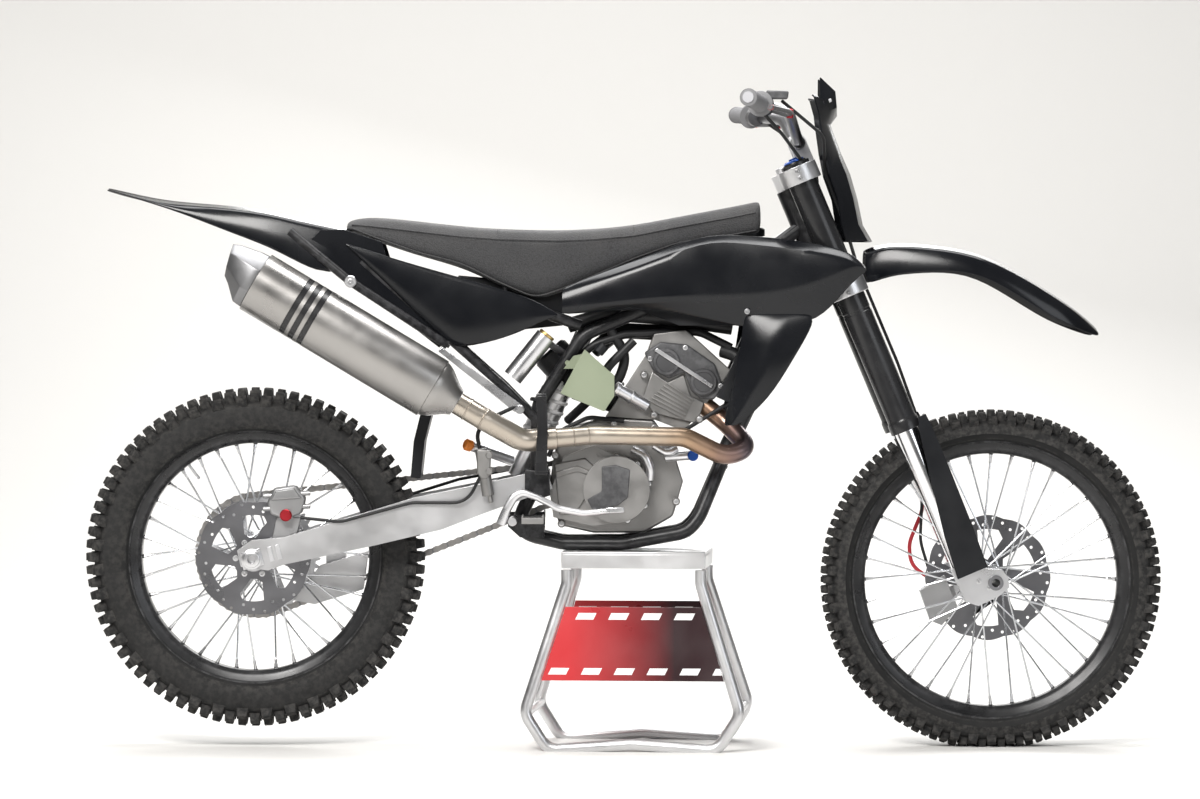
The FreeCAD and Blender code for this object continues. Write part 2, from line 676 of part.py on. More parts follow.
def clamp(label, up, stem):
    """A triple clamp: two split rings round the legs and the bridge between them."""
    half = s.clamp_thickness / 2
    ring = s.outer_leg_radius + 11
    back = -s.clamp_offset - 26
    outline = [(back, -24), (back, 24), (-ring * 0.7, LEG_Y - 10), (ring * 0.6, LEG_Y - 14),
               (14, 34), (14, -34), (ring * 0.6, 14 - LEG_Y), (-ring * 0.7, 10 - LEG_Y)]
    plate = Part.Face(Part.makePolygon([Vector(x, y, -half) for x, y in outline + outline[:1]]))
    parts = [plate.extrude(Vector(0, 0, 2 * half))]
    for y in (-LEG_Y, LEG_Y):
        parts.append(Part.makeCylinder(ring, 2 * half, Vector(0, y, -half)))
    body = fuse(parts)
    for y in (-LEG_Y, LEG_Y):
        body = body.cut(Part.makeCylinder(s.outer_leg_radius + SEAT, 4 * half, Vector(0, y, -2 * half)))
    if stem:
        body = fuse([body, Part.makeCylinder(s.stem_radius, stem, Vector(-s.clamp_offset, 0, 0))])
    else:
        body = body.cut(Part.makeCylinder(s.stem_radius + SEAT, 4 * half, Vector(-s.clamp_offset, 0, -2 * half)))
    feature(label, body, fork_place(up))


CLAMP_SPREAD = s.upper_clamp_height - s.lower_clamp_height
clamp("lower_clamp", s.lower_clamp_height, CLAMP_SPREAD + s.clamp_thickness / 2 + 12)
clamp("upper_clamp", s.upper_clamp_height, 0)

# Handlebar, from the middle of its clamp
BAR_UP = s.upper_clamp_height + s.clamp_thickness / 2 + 44
BAR = Vector(*on_fork(BAR_UP, 25, 0))
BAR_PLACE = at(BAR.x, 0, BAR.z)
GRIP_IN = s.bar_half_width - s.grip_length
half_bar = [(0, 0, 0), (0, 62, 0), (-22, 165, s.bar_rise - 16), (-82, GRIP_IN, s.bar_rise - 4),
            (-110, s.bar_half_width, s.bar_rise + 4)]
whole_bar = [(x, -y, z) for x, y, z in half_bar[:0:-1]] + half_bar[1:]
thick = rod((0, -62, 0), (0, 62, 0), s.bar_radius)
feature("handlebar", fuse([bent(whole_bar, s.bar_end_radius, 90), thick]), BAR_PLACE)
grips, levers = [], []
for way in (-1, 1):
    start = Vector(half_bar[3][0], way * half_bar[3][1], half_bar[3][2])
    end = Vector(half_bar[4][0], way * half_bar[4][1], half_bar[4][2])
    along = (end - start).normalize()
    far = end + along * 4
    grip = fuse([rod(start, far, s.grip_radius), rod(start, start + along * 5, s.grip_radius + 8)])
    grips.append(grip.cut(bent(whole_bar, s.bar_end_radius + SEAT, 90)))
    perch = start - along * 34
    clamp_ring = rod(perch - along * 12, perch + along * 12, 19)
    arm = rod(perch, perch + Vector(54, 0, -17), 8)
    clamp_ring = fuse([clamp_ring, arm]).cut(bent(whole_bar, s.bar_end_radius + SEAT, 90))
    levers.append(clamp_ring)
    hinge = perch + Vector(50, 0, -15)
    tip = hinge + along * 175 + Vector(-4, 0, -6)
    bend_point = hinge + along * 70 + Vector(10, 0, -2)
    lever = bent([hinge + along * (8 + 2 * SEAT), bend_point, tip], 5.5, 60, 8)
    levers.append(lever)
feature("grips", Part.makeCompound(grips), BAR_PLACE)
feature("levers", Part.makeCompound(levers), BAR_PLACE)
mount = slab([(-17, 0), (-17, -44), (17, -44), (17, 0), (12, 17), (-12, 17)], -42, -20)
mount = mount.cut(rod((0, -60, 0), (0, 60, 0), s.bar_radius + SEAT))
block = Placement(BAR, Rotation(Vector(0, 1, 0), -s.rake))
feature("bar_clamps", Part.makeCompound(both(mount)), block)

# Number plate: a folded sheet leaning with the fork
PLATE_ROWS = [(1018, 440, 497, 92), (1050, 430, 475, 108), (1102, 423, 461, 118), (1156, 404, 446, 122),
              (1200, 396, 430, 118), (1244, 389, 414, 104), (1290, 384, 424, 84), (1322, 376, 416, 56),
              (1350, 366, 384, 22)]
rows = []
for z, back, front, half in PLATE_ROWS:
    rows.append([(back, -half, z), (front - 6, -half * 0.62, z), (front, 0, z), (front - 6, half * 0.62, z),
                 (back, half, z)])
plate = skin(rows, Vector(0, 0, 1), -s.plastic)
clamp_face = Vector(*on_fork(s.upper_clamp_height, 14, 0))
for y in (-26, 26):
    plate = plate.fuse(rod((clamp_face.x + 2.6, y, clamp_face.z), (440, y, clamp_face.z), 5))
feature("number_plate", plate)

# Front fender
FENDER_ROWS = [(478, 1000, 925, 62), (520, 1016, 947, 78), (600, 1012, 956, 96), (694, 1000, 957, 110),
               (777, 960, 909, 112), (846, 918, 864, 106), (898, 884, 842, 92), (949, 842, 826, 62)]
rows = []
for x, crown, edge, half in FENDER_ROWS:
    rows.append([(x, -half, edge), (x, -half * 0.86, (edge + crown) / 2 + 4), (x, -half * 0.45, crown - 3),
                 (x, 0, crown), (x, half * 0.45, crown - 3), (x, half * 0.86, (edge + crown) / 2 + 4),
                 (x, half, edge)])
fender = skin(rows, Vector(1, 0, 0), s.plastic)
under = s.lower_clamp_height - s.clamp_thickness / 2 - SEAT
tongue = slab([(-10, under), (76, under), (76, under - 5), (-10, under - 5)], -68, 68)
tongue.Placement = FORK
rib = slab([(468, 914), (515, 933), (562, 990), (562, 1010), (500, 1004)], 26, 30)
feature("front_fender", fuse([fender, tongue] + both(rib)))

# Front brake
caliper = slab([(-34, 40), (-92, 30), (-96, -34), (-78, -52), (-34, -30)], 52, 86)
slot = slab([(-20, 60), (-89, 60), (-89, -60), (-20, -60)],
            s.front_disc_place - s.disc_thickness / 2 - 3, s.front_disc_place + s.disc_thickness / 2 + 3)
ear = slab([(-60, 12), (-25.6, 12), (-25.6, -14), (-60, -14)], 76, 104)
feature("front_caliper", fuse([caliper.cut(slot), ear]), FORK)
hose = [(-60, 78, 37), (-52, 74, 120), (0, 70, 230), (38, 76, 330), (46, 88, 470), (46, 90, 700)]
feature("front_brake_hose", bent(hose, 3.5, 90, 6), FORK)

# Swingarm
POST_Y = s.post_half
ARM = REAR_AXLE - PIVOT
ARM_LENGTH = ARM.Length
ARM_ANGLE = math.degrees(math.atan2(PIVOT.z - REAR_AXLE.z, PIVOT.x - REAR_AXLE.x))
ARM_PLACE = Placement(REAR_AXLE, Rotation(Vector(0, 1, 0), -ARM_ANGLE))
ARM_OUTLINE = [(-24, 24), (8, 36), (72, 25), (204, 29), (ARM_LENGTH - 241, 34), (ARM_LENGTH - 118, 26),
               (ARM_LENGTH + 26, 20), (ARM_LENGTH + 26, -20), (ARM_LENGTH - 118, -32),
               (ARM_LENGTH - 206, -41), (242, -37), (59, -27), (25, -30), (-25, -9)]
beam = slab(ARM_OUTLINE, ARM_IN, ARM_OUT)
PIVOT_FACE = POST_Y + s.frame_tube + 4
pivot_boss = rod((ARM_LENGTH, PIVOT_FACE + SEAT, 0), (ARM_LENGTH, ARM_IN, 0), 19)
bridge = slab([(ARM_LENGTH - 150, 24), (ARM_LENGTH - 78, 22), (ARM_LENGTH - 78, -28), (ARM_LENGTH - 150, -34)],
              -ARM_IN, ARM_IN)
arm = fuse(both(beam) + both(pivot_boss) + [bridge])
arm = arm.cut(rod((0, -200, 0), (0, 200, 0), s.rear_axle_radius + SEAT))
arm = arm.cut(rod((ARM_LENGTH, -200, 0), (ARM_LENGTH, 200, 0), s.pivot_radius + SEAT))
feature("swingarm", arm, ARM_PLACE)

# Frame
HEAD_LOW = s.lower_clamp_height + s.clamp_thickness / 2 + SEAT
HEAD_TOP = s.upper_clamp_height - s.clamp_thickness / 2 - SEAT


def on_stem(up, y=0, back=0):
    return on_fork(up, -s.clamp_offset - back, y)


head = rod(on_stem(HEAD_LOW), on_stem(HEAD_TOP), s.head_tube_radius)
tube = s.frame_tube
half = s.frame_half
TOP_JOINT = PIVOT + Vector(92, 0, 292)
NECK = Vector(205, 0, 600)


def frame_tubes(extra):
    """The frame's tubes, with their radius grown by extra."""
    back_post = [(PIVOT.x, POST_Y, PIVOT.z), (PIVOT.x, POST_Y + 9, PIVOT.z + 60),
                 (PIVOT.x, POST_Y + 9, PIVOT.z + 150), (TOP_JOINT.x, POST_Y + 9, TOP_JOINT.z),
                 on_stem(HEAD_LOW + 100, 30, 130), on_stem(HEAD_LOW + 130, 10, 8)]
    cradle = [(NECK.x, 8, NECK.z), (150, half - 8, 470), (126, half, 440), (-2, half, 417), (-119, half - 10, 417),
              (-222, POST_Y, 440), (PIVOT.x, POST_Y, PIVOT.z)]
    down = bent([on_stem(HEAD_LOW + 60, 0, 4), tuple(NECK)], tube + 4 + extra, 60)
    tubes = [down]
    for piece in (bent(back_post, tube + extra, 60), bent(cradle, tube + extra, 60)):
        tubes += both(piece)
    return tubes


stays = [rod((234, 72 - SEAT, 746), (234, 58, 746), 7), rod((234, 64, 746), (270, 8, 746), 5),
         rod((268, 72 - SEAT, 820), (268, 58, 820), 7), rod((268, 64, 820), (305, 8, 820), 5)]
boss = rod((PIVOT.x, POST_Y - tube - 1, PIVOT.z), (PIVOT.x, PIVOT_FACE, PIVOT.z), 22)
cross = rod((TOP_JOINT.x, -POST_Y - 9, TOP_JOINT.z), (TOP_JOINT.x, POST_Y + 9, TOP_JOINT.z), tube)
peg_block = fuse([slab([(-206, 430), (-158, 430), (-158, 448), (-206, 448)], POST_Y, 92),
                  slab([(-206, 430), (-158, 430), (-158, 474), (-230, 474), (-230, 452)], 80, 92)])
frame_solid = fuse([head, cross] + frame_tubes(0) + both(boss) + both(peg_block)
                   + [x for stay in stays for x in both(stay)])
frame_solid = frame_solid.cut(rod(on_stem(HEAD_LOW - 30), on_stem(HEAD_TOP + 30), s.stem_radius + s.running_gap))
frame_solid = frame_solid.cut(rod((PIVOT.x, -200, PIVOT.z), (PIVOT.x, 200, PIVOT.z), s.pivot_radius + SEAT))
feature("frame", frame_solid)
bolt = fuse([rod((0, -ARM_OUT - 4, 0), (0, ARM_OUT + 4, 0), s.pivot_radius),
             rod((0, -ARM_OUT - 6, 0), (0, -ARM_OUT - SEAT, 0), 19),
             rod((0, ARM_OUT + SEAT, 0), (0, ARM_OUT + 6, 0), 19)])
feature("pivot_bolt", bolt, at(PIVOT.x, 0, PIVOT.z))

# Subframe
RAIL_Y = 84
RAIL = 11
rail = bent([(TOP_JOINT.x - 7, 62, TOP_JOINT.z + 18), (-200, RAIL_Y, 890), (-420, RAIL_Y, 958), (-640, 70, 1012)],
            RAIL, 80)
brace = bent([(PIVOT.x, POST_Y + tube + 20, 660), (-240, RAIL_Y, 730), (-520, RAIL_Y, 978)], 9, 60, 8)
foot = rod((PIVOT.x, POST_Y + tube + 9 + 2 * SEAT, 660), (PIVOT.x, POST_Y + tube + 30, 660), 13)
props = [rod((-236, RAIL_Y - 22, 896), (-236, RAIL_Y - 22, 958), 6), rod((-500, 62, 980), (-500, 62, 1025.8), 6)]
loop = rod((-600, -86.6, 1006), (-600, 86.6, 1006), 9)
props_foot = [rod((-236, RAIL_Y, 900), (-236, RAIL_Y - 22, 900), 6), rod((-500, 80, 980), (-500, 60, 980), 6)]
sub = fuse(both(rail) + both(brace) + both(foot) + [loop] + [x for p in props + props_foot for x in both(p)])

# Engine
EH = s.engine_half
cases = slab([(-138, 600), (-150, 520), (-128, 452), (-60, 437), (40, 437), (98, 470), (118, 540), (96, 610),
              (60, 662), (-40, 668), (-100, 650)], -EH, EH)
feature("engine_cases", cases)
cover = rod((-15, -EH - SEAT, 525), (-15, -EH - 54, 525), 66)
lobe = slab([(-147, 520), (-140, 470), (-60, 452), (-20, 460), (-10, 590), (-60, 612), (-120, 590)], -EH - SEAT,
            -EH - 38)
feature("clutch_cover", fuse([cover, lobe]))
feature("ignition_cover", rod((12, EH + SEAT, 520), (12, EH + 34, 520), 60))
barrel = slab([(-36, 668 + SEAT), (62, 662 + SEAT), (120, 640), (196, 735), (108, 802), (44, 790)], -52, 52)
feature("cylinder", barrel.cut(cases))
cam = slab([(44, 790), (108, 802), (196, 735), (214, 760), (124, 842), (60, 834)], -58, 58)
feature("head_cover", cam.cut(barrel))

# Exhaust on the right
header = [(161, -34, 690), (204, -44, 655), (248, -88, 608), (200, -114, 590), (120, -122, 630), (-60, -126, 634),
          (-160, -140, 626)]
feature("header_pipe", bent(header, s.header_radius, 60, 12).cut(barrel))
MUFFLER_FRONT = Vector(-357, -190, 716)
MUFFLER_BACK = Vector(-772, -190, 966)
muffler_way = (MUFFLER_BACK - MUFFLER_FRONT).normalize()
mid = [(-160, -140, 626), (-200, -145.6, 622.8), tuple(MUFFLER_FRONT - muffler_way * 90),
       tuple(MUFFLER_FRONT - muffler_way * (34 + SEAT))]
feature("mid_pipe", bent(mid, s.mid_pipe_radius, 60, 12))
cone = Part.makeCone(s.mid_pipe_radius + 4, s.muffler_radius - 4, 50, MUFFLER_FRONT - muffler_way * 34, muffler_way)
can = Part.makeCylinder(s.muffler_radius, s.muffler_length - 60, MUFFLER_FRONT + muffler_way * 16, muffler_way)
feature("muffler", fuse([cone, can]))
end = MUFFLER_FRONT + muffler_way * (s.muffler_length - 44)
feature("muffler_end_cap", Part.makeCone(s.muffler_radius, s.muffler_radius - 22, 40, end, muffler_way))

# Tank, seat and panels
tank_rows = []
for x, low, top, wide in ((30, 880, 978, 60), (110, 850, 1008, 92), (220, 850, 1024, 96), (268, 890, 1028, 54)):
    tank_rows.append([(x, -wide, low), (x, -wide, top - 30), (x, -wide + 34, top), (x, wide - 34, top),
                      (x, wide, top - 30), (x, wide, low)])
tank = loft(tank_rows)
for grown in frame_tubes(3):
    tank = tank.cut(grown)
feature("fuel_tank", tank)
SEAT_ROWS = [(-554, 1040, 1052, 0.86), (-517, 1032, 1065, 0.95), (-382, 1000, 1048, 1.05), (-250, 960, 1037, 1.1),
             (-128, 950, 1035, 1.06), (20, 980, 1046, 0.92), (110, 1008.3, 1064, 0.8), (220, 1024.3, 1086, 0.6),
             (275, 1034, 1098, 0.5)]
rows = []
for x, low, top, share in SEAT_ROWS:
    wide = s.seat_half * share
    edge = top - min(16, 0.4 * (top - low))
    rows.append([(x, -wide - 8, low), (x, -wide, edge), (x, -wide + 26, top), (x, wide - 26, top),
                 (x, wide, edge), (x, wide + 8, low)])
feature("seat", loft(rows))
panel = slab([(-554, 1013), (-190, 908), (-129, 870), (-175, 853), (-233, 824), (-326, 802), (-352, 815)], -RAIL_Y - RAIL - SEAT - s.plastic, -RAIL_Y - RAIL - SEAT)
feature("side_panels", Part.makeCompound(both(panel)))
FIN_ROWS = [(-129, 868, 926, 112, 106), (31, 886, 984, 122, 104), (154, 864, 1034, 140, 116),
            (237, 842, 1030, 158, 132), (312, 846, 1024, 176, 150), (382, 856, 1012, 184, 160),
            (417, 900, 1006, 184, 164), (452, 936, 990, 182, 168), (477, 956, 963, 178, 176)]
rows = []
for x, low, top, wide, waist in FIN_ROWS:
    rows.append([(x, -waist, low), (x, -wide, low * 0.62 + top * 0.38), (x, -wide + 6, low * 0.3 + top * 0.7),
                 (x, -waist + 6, top)])
arm_skin = skin(rows, Vector(1, 0, 0), s.plastic)
SCOOP_ROWS = [(875, 236, 142.5, 307, 159, 378, 166), (846, 232, 146, 303, 172, 372, 170),
              (780, 222, 150, 277, 176, 332, 174), (705, 205, 142, 246, 168, 287, 166),
              (650, 194, 130, 209, 156, 224, 154)]
rows = []
for z, x0, y0, x1, y1, x2, y2 in SCOOP_ROWS:
    rows.append([(x0, -y0, z), (x1, -y1, z), (x2, -y2, z)])
scoop = skin(rows, Vector(0, 0, 1), -s.plastic)
feature("shrouds", Part.makeCompound(both(fuse([arm_skin, scoop]))))
cooler = slab([(184, 708), (224, 690), (296, 846), (256, 864)], -128, -72)
cooler = fuse([cooler, rod((262, -120, 850), (262, -135.2, 850), 5)])
feature("radiators", Part.makeCompound(both(cooler)))
airbox = []
for x, low, top, wide in ((-330, 850, 950, 50), (-220, 840, 940, 56), (-120, 850, 930, 50)):
    airbox.append([(x, -wide, low), (x, -wide, top), (x, wide, top), (x, wide, low)])
feature("airbox", loft(airbox))
feature("subframe", sub)
TAIL_ROWS = [(-578, 1050, 940, 96), (-640, 1062, 970, 98), (-700, 1078, 1004, 98), (-782, 1089, 1034, 94),
             (-860, 1094, 1066, 86), (-935, 1102, 1092, 74), (-1034, 1127, 1122, 40)]
rows = []
for x, crown, edge, wide in TAIL_ROWS:
    rows.append([(x, -wide, edge), (x, -wide * 0.9, crown - 8), (x, 0, crown), (x, wide * 0.9, crown - 8),
                 (x, wide, edge)])
feature("rear_fender", skin(rows, Vector(1, 0, 0), s.plastic))

# Shock, controls and small parts
SHOCK_TOP = TOP_JOINT
SHOCK_LOW = Vector(-215, 0, 548)
shock_way = (SHOCK_TOP - SHOCK_LOW).normalize()
shock = fuse([rod(SHOCK_LOW, SHOCK_TOP, 18),
              rod(SHOCK_LOW + shock_way * 70, SHOCK_LOW + shock_way * 225, 30)])
shock = shock.cut(rod((TOP_JOINT.x, -60, TOP_JOINT.z), (TOP_JOINT.x, 60, TOP_JOINT.z), tube + SEAT))
shock = [x for x in shock.Solids if x.CenterOfMass.z < TOP_JOINT.z][0]
reservoir = rod((-221, -84, 747), (-155, -84, 829), 20)
neck = rod((-160, -84, 822), (-104, -4, 783), 7)
feature("shock_absorber", fuse([shock, reservoir, neck]))
coolant = slab([(-78, 803), (-19, 751), (-19, 711), (-39, 680), (-126, 716)], -118, -80)
coolant_tab = slab([(-120, 764), (-96, 764), (-76, 795), (-100, 790)], -86, -80)
coolant_pin = rod((-112, -80, 776), (-112, -POST_Y - 9 - tube - SEAT, 776), 5)
feature("coolant_tank", fuse([coolant, coolant_tab, coolant_pin]))
peg = slab([(-202, 460), (-158, 460), (-158, 472), (-202, 472)], 92 + SEAT, 172)
feature("footpegs", Part.makeCompound(both(peg)))
pedal = slab([(-262, 452), (-228, 486), (-212, 522), (-188, 528), (-128, 498), (-40, 492), (-20, 492), (-22, 480),
              (-95, 470), (-130, 484), (-190, 510), (-204, 480), (-250, 450)], -152, -144)
pedal_pin = rod((-220, -92 - SEAT, 464), (-220, -146, 464), 8)
feature("brake_pedal", fuse([pedal, pedal_pin]))
feature("shift_lever", fuse([slab([(-60, 452), (88, 486), (88, 498), (-60, 466)], 112, 119),
                             rod((-52, EH + SEAT, 460), (-52, 112, 460), 7)]))
feature("rear_master_cylinder", rod((-283, -ARM_OUT - 12 - SEAT, 607), (-268, -ARM_OUT - 12 - SEAT, 514), 12))
y = -s.rear_disc_place
brake = slab([(-690, 520), (-640, 520), (-618, 480), (-650, 448), (-700, 462)], -ARM_IN + SEAT, y + 17)
brake = brake.cut(slab([(-800, 400), (-500, 400), (-500, 505), (-800, 505)], y - 5, y + 5))
carrier = slab([(-700, 470), (-650, 448), (REAR_AXLE.x + 24, REAR_AXLE.z - 4), (REAR_AXLE.x, REAR_AXLE.z - 22),
                (REAR_AXLE.x - 22, REAR_AXLE.z + 10)], -ARM_IN + SEAT, -ARM_IN + CALIPER_PLATE)
carrier = carrier.cut(rod((REAR_AXLE.x, -200, REAR_AXLE.z), (REAR_AXLE.x, 0, REAR_AXLE.z), s.rear_axle_radius + SEAT))
feature("rear_caliper", fuse([brake, carrier]))
guide = slab([(-611, 367), (-514, 396), (-524, 319), (-622, 289), (-665, 297)], 52, 58)
plates = [guide, slab([(-611, 367), (-514, 396), (-524, 319), (-622, 289), (-665, 297)], 78, 83)]
tab = slab([(-600, 366), (-560, 378), (-560, 400.6), (-600, 392.1)], 78, 108)
bolts = [rod((x, 52, z), (x, 83, z), 4) for x, z in ((-594, 352), (-530, 378), (-545, 319.5))]
feature("chain_guide", fuse(plates + [tab] + bolts))

# Paddock stand
STAND = Placement(Vector(28, 0, 0), Rotation(Vector(0, 0, 1), -s.stand_turn))
wide = s.stand_half_width
top_z = s.stand_height - s.stand_plate
r = s.stand_tube
rail_z = 30
TOP_HALF, LOW_HALF, BASE_HALF = 131, 214, 168
LOW_Z = 84
side = bent([(-TOP_HALF - 2, 103, top_z - SEAT), (-TOP_HALF - 2, 103, top_z - 30), (-LOW_HALF, wide, LOW_Z),
             (-BASE_HALF, wide, r), (0, wide, r + 12), (BASE_HALF, wide, r), (LOW_HALF, wide, LOW_Z),
             (TOP_HALF + 2, 103, top_z - 30), (TOP_HALF + 2, 103, top_z - SEAT)], r, 34)
feature("stand_frame", Part.makeCompound(both(side)), STAND)
feature("stand_platform", slab([(-143, top_z), (143, top_z), (143, s.stand_height), (-143, s.stand_height)],
                               -114, 114), STAND)


def leg_at(z):
    """The x and y of a leg's axis at height z."""
    share = (top_z - 30 - z) / (top_z - 30 - LOW_Z)
    return TOP_HALF + 2 + (LOW_HALF - TOP_HALF - 2) * share, 103 + (wide - 103) * share


rows = []
for z in (293, 148):
    x, y = leg_at(z)
    x -= r * 1.06 + SEAT
    rows.append([(-x, y - 1, z), (x, y - 1, z), (x, y + 1, z), (-x, y + 1, z)])
feature("stand_panels", Part.makeCompound(both(loft(rows))), STAND)

doc.recompute()
faults = []
for item in doc.Objects:
    if "Invalid" in item.State or "Error" in item.State:
        faults.append("%s: %s" % (item.Label, item.State))
for item in PARTS:
    if item.Shape.isNull() or not item.Shape.isValid() or not item.Shape.Solids:
        faults.append("%s: bad shape" % item.Label)
    elif item.Shape.Volume <= 0:
        faults.append("%s: volume %.1f" % (item.Label, item.Shape.Volume))
if faults:
    raise RuntimeError("; ".join(faults))
os.makedirs("parts", exist_ok=True)
for item in PARTS:
    item.Shape.exportStep(os.path.join("parts", item.Label + ".step"))
print("%d sub-parts" % len(PARTS))
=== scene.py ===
from math import acos, asin, atan, atan2, ceil, cos, degrees, pi, radians, sin, tan

import bmesh
import bpy
from bpy.props import FloatProperty, FloatVectorProperty, IntProperty, PointerProperty
from bpy.types import Operator, Panel, PropertyGroup
from mathutils import Matrix, Vector
from mathutils.geometry import tessellate_polygon


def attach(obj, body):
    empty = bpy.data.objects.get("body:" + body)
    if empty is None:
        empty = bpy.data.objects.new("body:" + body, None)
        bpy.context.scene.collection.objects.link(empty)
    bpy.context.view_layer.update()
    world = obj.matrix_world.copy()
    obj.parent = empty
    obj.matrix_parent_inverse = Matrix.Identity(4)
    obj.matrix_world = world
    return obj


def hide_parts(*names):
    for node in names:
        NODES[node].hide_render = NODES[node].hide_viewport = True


bl_info = {
    "name": "Dirt bike on its stand",
    "version": (1, 0, 0),
    "blender": (4, 5, 0),
    "location": "3D View > Sidebar > Dirt bike",
    "description": "Builds the looks of a motocross motorcycle and its paddock stand around the packed frame",
    "category": "Object",
}

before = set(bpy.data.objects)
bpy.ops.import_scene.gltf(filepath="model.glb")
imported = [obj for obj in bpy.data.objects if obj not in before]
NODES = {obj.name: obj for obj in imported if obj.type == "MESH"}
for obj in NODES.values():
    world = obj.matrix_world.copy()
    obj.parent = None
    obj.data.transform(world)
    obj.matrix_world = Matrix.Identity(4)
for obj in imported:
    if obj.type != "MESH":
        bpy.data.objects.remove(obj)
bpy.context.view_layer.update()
MM = 0.001

# The lie of the machine in millimetres, as in the part's source
REAR_AXLE = Vector((-736, 0, 388))
FRONT_AXLE = Vector((734, 0, 342))
PIVOT = Vector((-172, 0, 540))
RAKE = radians(22.8)
LEG_UP = Vector((-sin(RAKE), 0, cos(RAKE)))
LEG_AHEAD = Vector((cos(RAKE), 0, sin(RAKE)))
LEG_FOOT = FRONT_AXLE - LEG_AHEAD * 45
LEG_Y = 105


def on_fork(up, ahead=0.0, y=0.0):
    """A point on the fork: up along the legs from the axle's height, ahead of the leg axes."""
    point = LEG_FOOT + LEG_UP * up + LEG_AHEAD * ahead
    return Vector((point.x, y, point.z))


# Mesh making
def shown(mesh):
    """The mesh as an object of the scene."""
    piece = bpy.data.objects.new("draft", mesh)
    bpy.context.scene.collection.objects.link(piece)
    return piece


def mesh_piece(points, faces, sharp=40, doubles=0.0):
    """A mesh object from corners in millimetres, its normals outwards and its sharp edges marked."""
    mesh = bpy.data.meshes.new("draft")
    mesh.from_pydata([Vector(p) * MM for p in points], [], faces)
    shell = bmesh.new()
    shell.from_mesh(mesh)
    if doubles:
        bmesh.ops.remove_doubles(shell, verts=shell.verts, dist=doubles * MM)
    bmesh.ops.recalc_face_normals(shell, faces=shell.faces)
    shell.to_mesh(mesh)
    shell.free()
    mesh.polygons.foreach_set("use_smooth", [True] * len(mesh.polygons))
    mesh.set_sharp_from_angle(angle=radians(sharp))
    return shown(mesh)


def merged(pieces):
    """Several mesh objects as one, with their modifiers applied."""
    joined = bmesh.new()
    depsgraph = bpy.context.evaluated_depsgraph_get()
    for piece in pieces:
        mesh = bpy.data.meshes.new_from_object(piece.evaluated_get(depsgraph), depsgraph=depsgraph)
        mesh.transform(piece.matrix_world)
        joined.from_mesh(mesh)
        bpy.data.meshes.remove(mesh)
    for piece in pieces:
        bpy.data.objects.remove(piece)
    mesh = bpy.data.meshes.new("draft")
    joined.to_mesh(mesh)
    joined.free()
    return shown(mesh)


def applied(piece, sharp=None):
    """The piece with its modifiers made part of its mesh."""
    result = merged([piece])
    if sharp is not None:
        result.data.set_sharp_from_angle(angle=radians(sharp))
    return result


def rounded(piece, width=1.5, segments=2, angle=30):
    """The piece with a bevel on the edges that turn by more than angle."""
    bevel = piece.modifiers.new("rounded", "BEVEL")
    bevel.width = width * MM
    bevel.segments = segments
    bevel.limit_method = "ANGLE"
    bevel.angle_limit = radians(angle)
    bevel.use_clamp_overlap = True
    piece.data.set_sharp_from_angle(angle=radians(60))
    return piece


def smoothed(piece, levels=2):
    """The piece with subdivision."""
    smooth = piece.modifiers.new("smoothed", "SUBSURF")
    smooth.levels = smooth.render_levels = levels
    return piece


def quads(rows, count, columns=0, around=False):
    """Faces between neighbouring rows of count corners; a row is closed unless columns is less than count."""
    steps = [(i, (i + 1) % count) for i in range(columns or count)]
    return [(k * count + i, k * count + j, (k + 1) % rows * count + j, (k + 1) % rows * count + i)
            for k in range(rows if around else rows - 1) for i, j in steps]


def prism_faces(count):
    """Two caps and the sides between two loops of count corners."""
    return [tuple(range(count)), tuple(range(2 * count - 1, count - 1, -1))] + [
            (i, (i + 1) % count, (i + 1) % count + count, i + count) for i in range(count)]


def ring(radius, sides=20, shift=0.0):
    """Corners on a circle, turned by shift steps."""
    angles = [2 * pi * (i + shift) / sides for i in range(sides)]
    return [(radius * cos(angle), radius * sin(angle)) for angle in angles]


def both_halves(row):
    """A row of points from the centre plane outwards, with its mirror image before it."""
    return [(x, -y, z) for x, y, z in row[:0:-1]] + row


def symmetric(profile):
    """A closed profile from its left half of (along, radius) corners."""
    return profile + [(-along, radius) for along, radius in profile[::-1]]


def polar(centre, radius, angle, y=0.0):
    """The point at a radius and angle round the Y axis through centre."""
    return centre + Vector((radius * cos(angle), y, radius * sin(angle)))


def flat_polar(centre, radius, angle):
    """The same point as (x, z)."""
    point = polar(centre, radius, angle)
    return point.x, point.z


def axes_to(way, side=None):
    """A rotation whose Z axis points along way, and whose X axis leans to side."""
    z = Vector(way).normalized()
    x = Vector(side) if side else (Vector((0, 1, 0)) if abs(z.y) < 0.9 else Vector((1, 0, 0)))
    x = (x - z * x.dot(z)).normalized()
    y = z.cross(x)
    return Matrix((x, y, z)).transposed()


def lathe(profile, start=(0, 0, 0), way=(0, 0, 1), turns=64, closed=False, sharp=32):
    """A turned piece; profile holds (along, radius) corners from start along way."""
    turn, start = axes_to(way), Vector(start)
    points = [start + turn @ Vector((radius * u, radius * v, along)) for u, v in ring(1, turns)
            for along, radius in profile]
    count = len(profile)
    faces = quads(turns, count, count if closed else count - 1, around=True)
    return mesh_piece(points, faces, sharp, doubles=0.01)


def barrel(start, end, radius, inner=0.0, edge=1.0, turns=40):
    """A round bar or sleeve between two points, its ends broken by a small chamfer."""
    start, end = Vector(start), Vector(end)
    length = (end - start).length
    edge = min(edge, length / 3)
    profile = [(0, inner), (0, radius - edge), (edge, radius), (length - edge, radius), (length, radius - edge),
            (length, inner)]
    return lathe(profile, start, end - start, turns, closed=inner > 0)


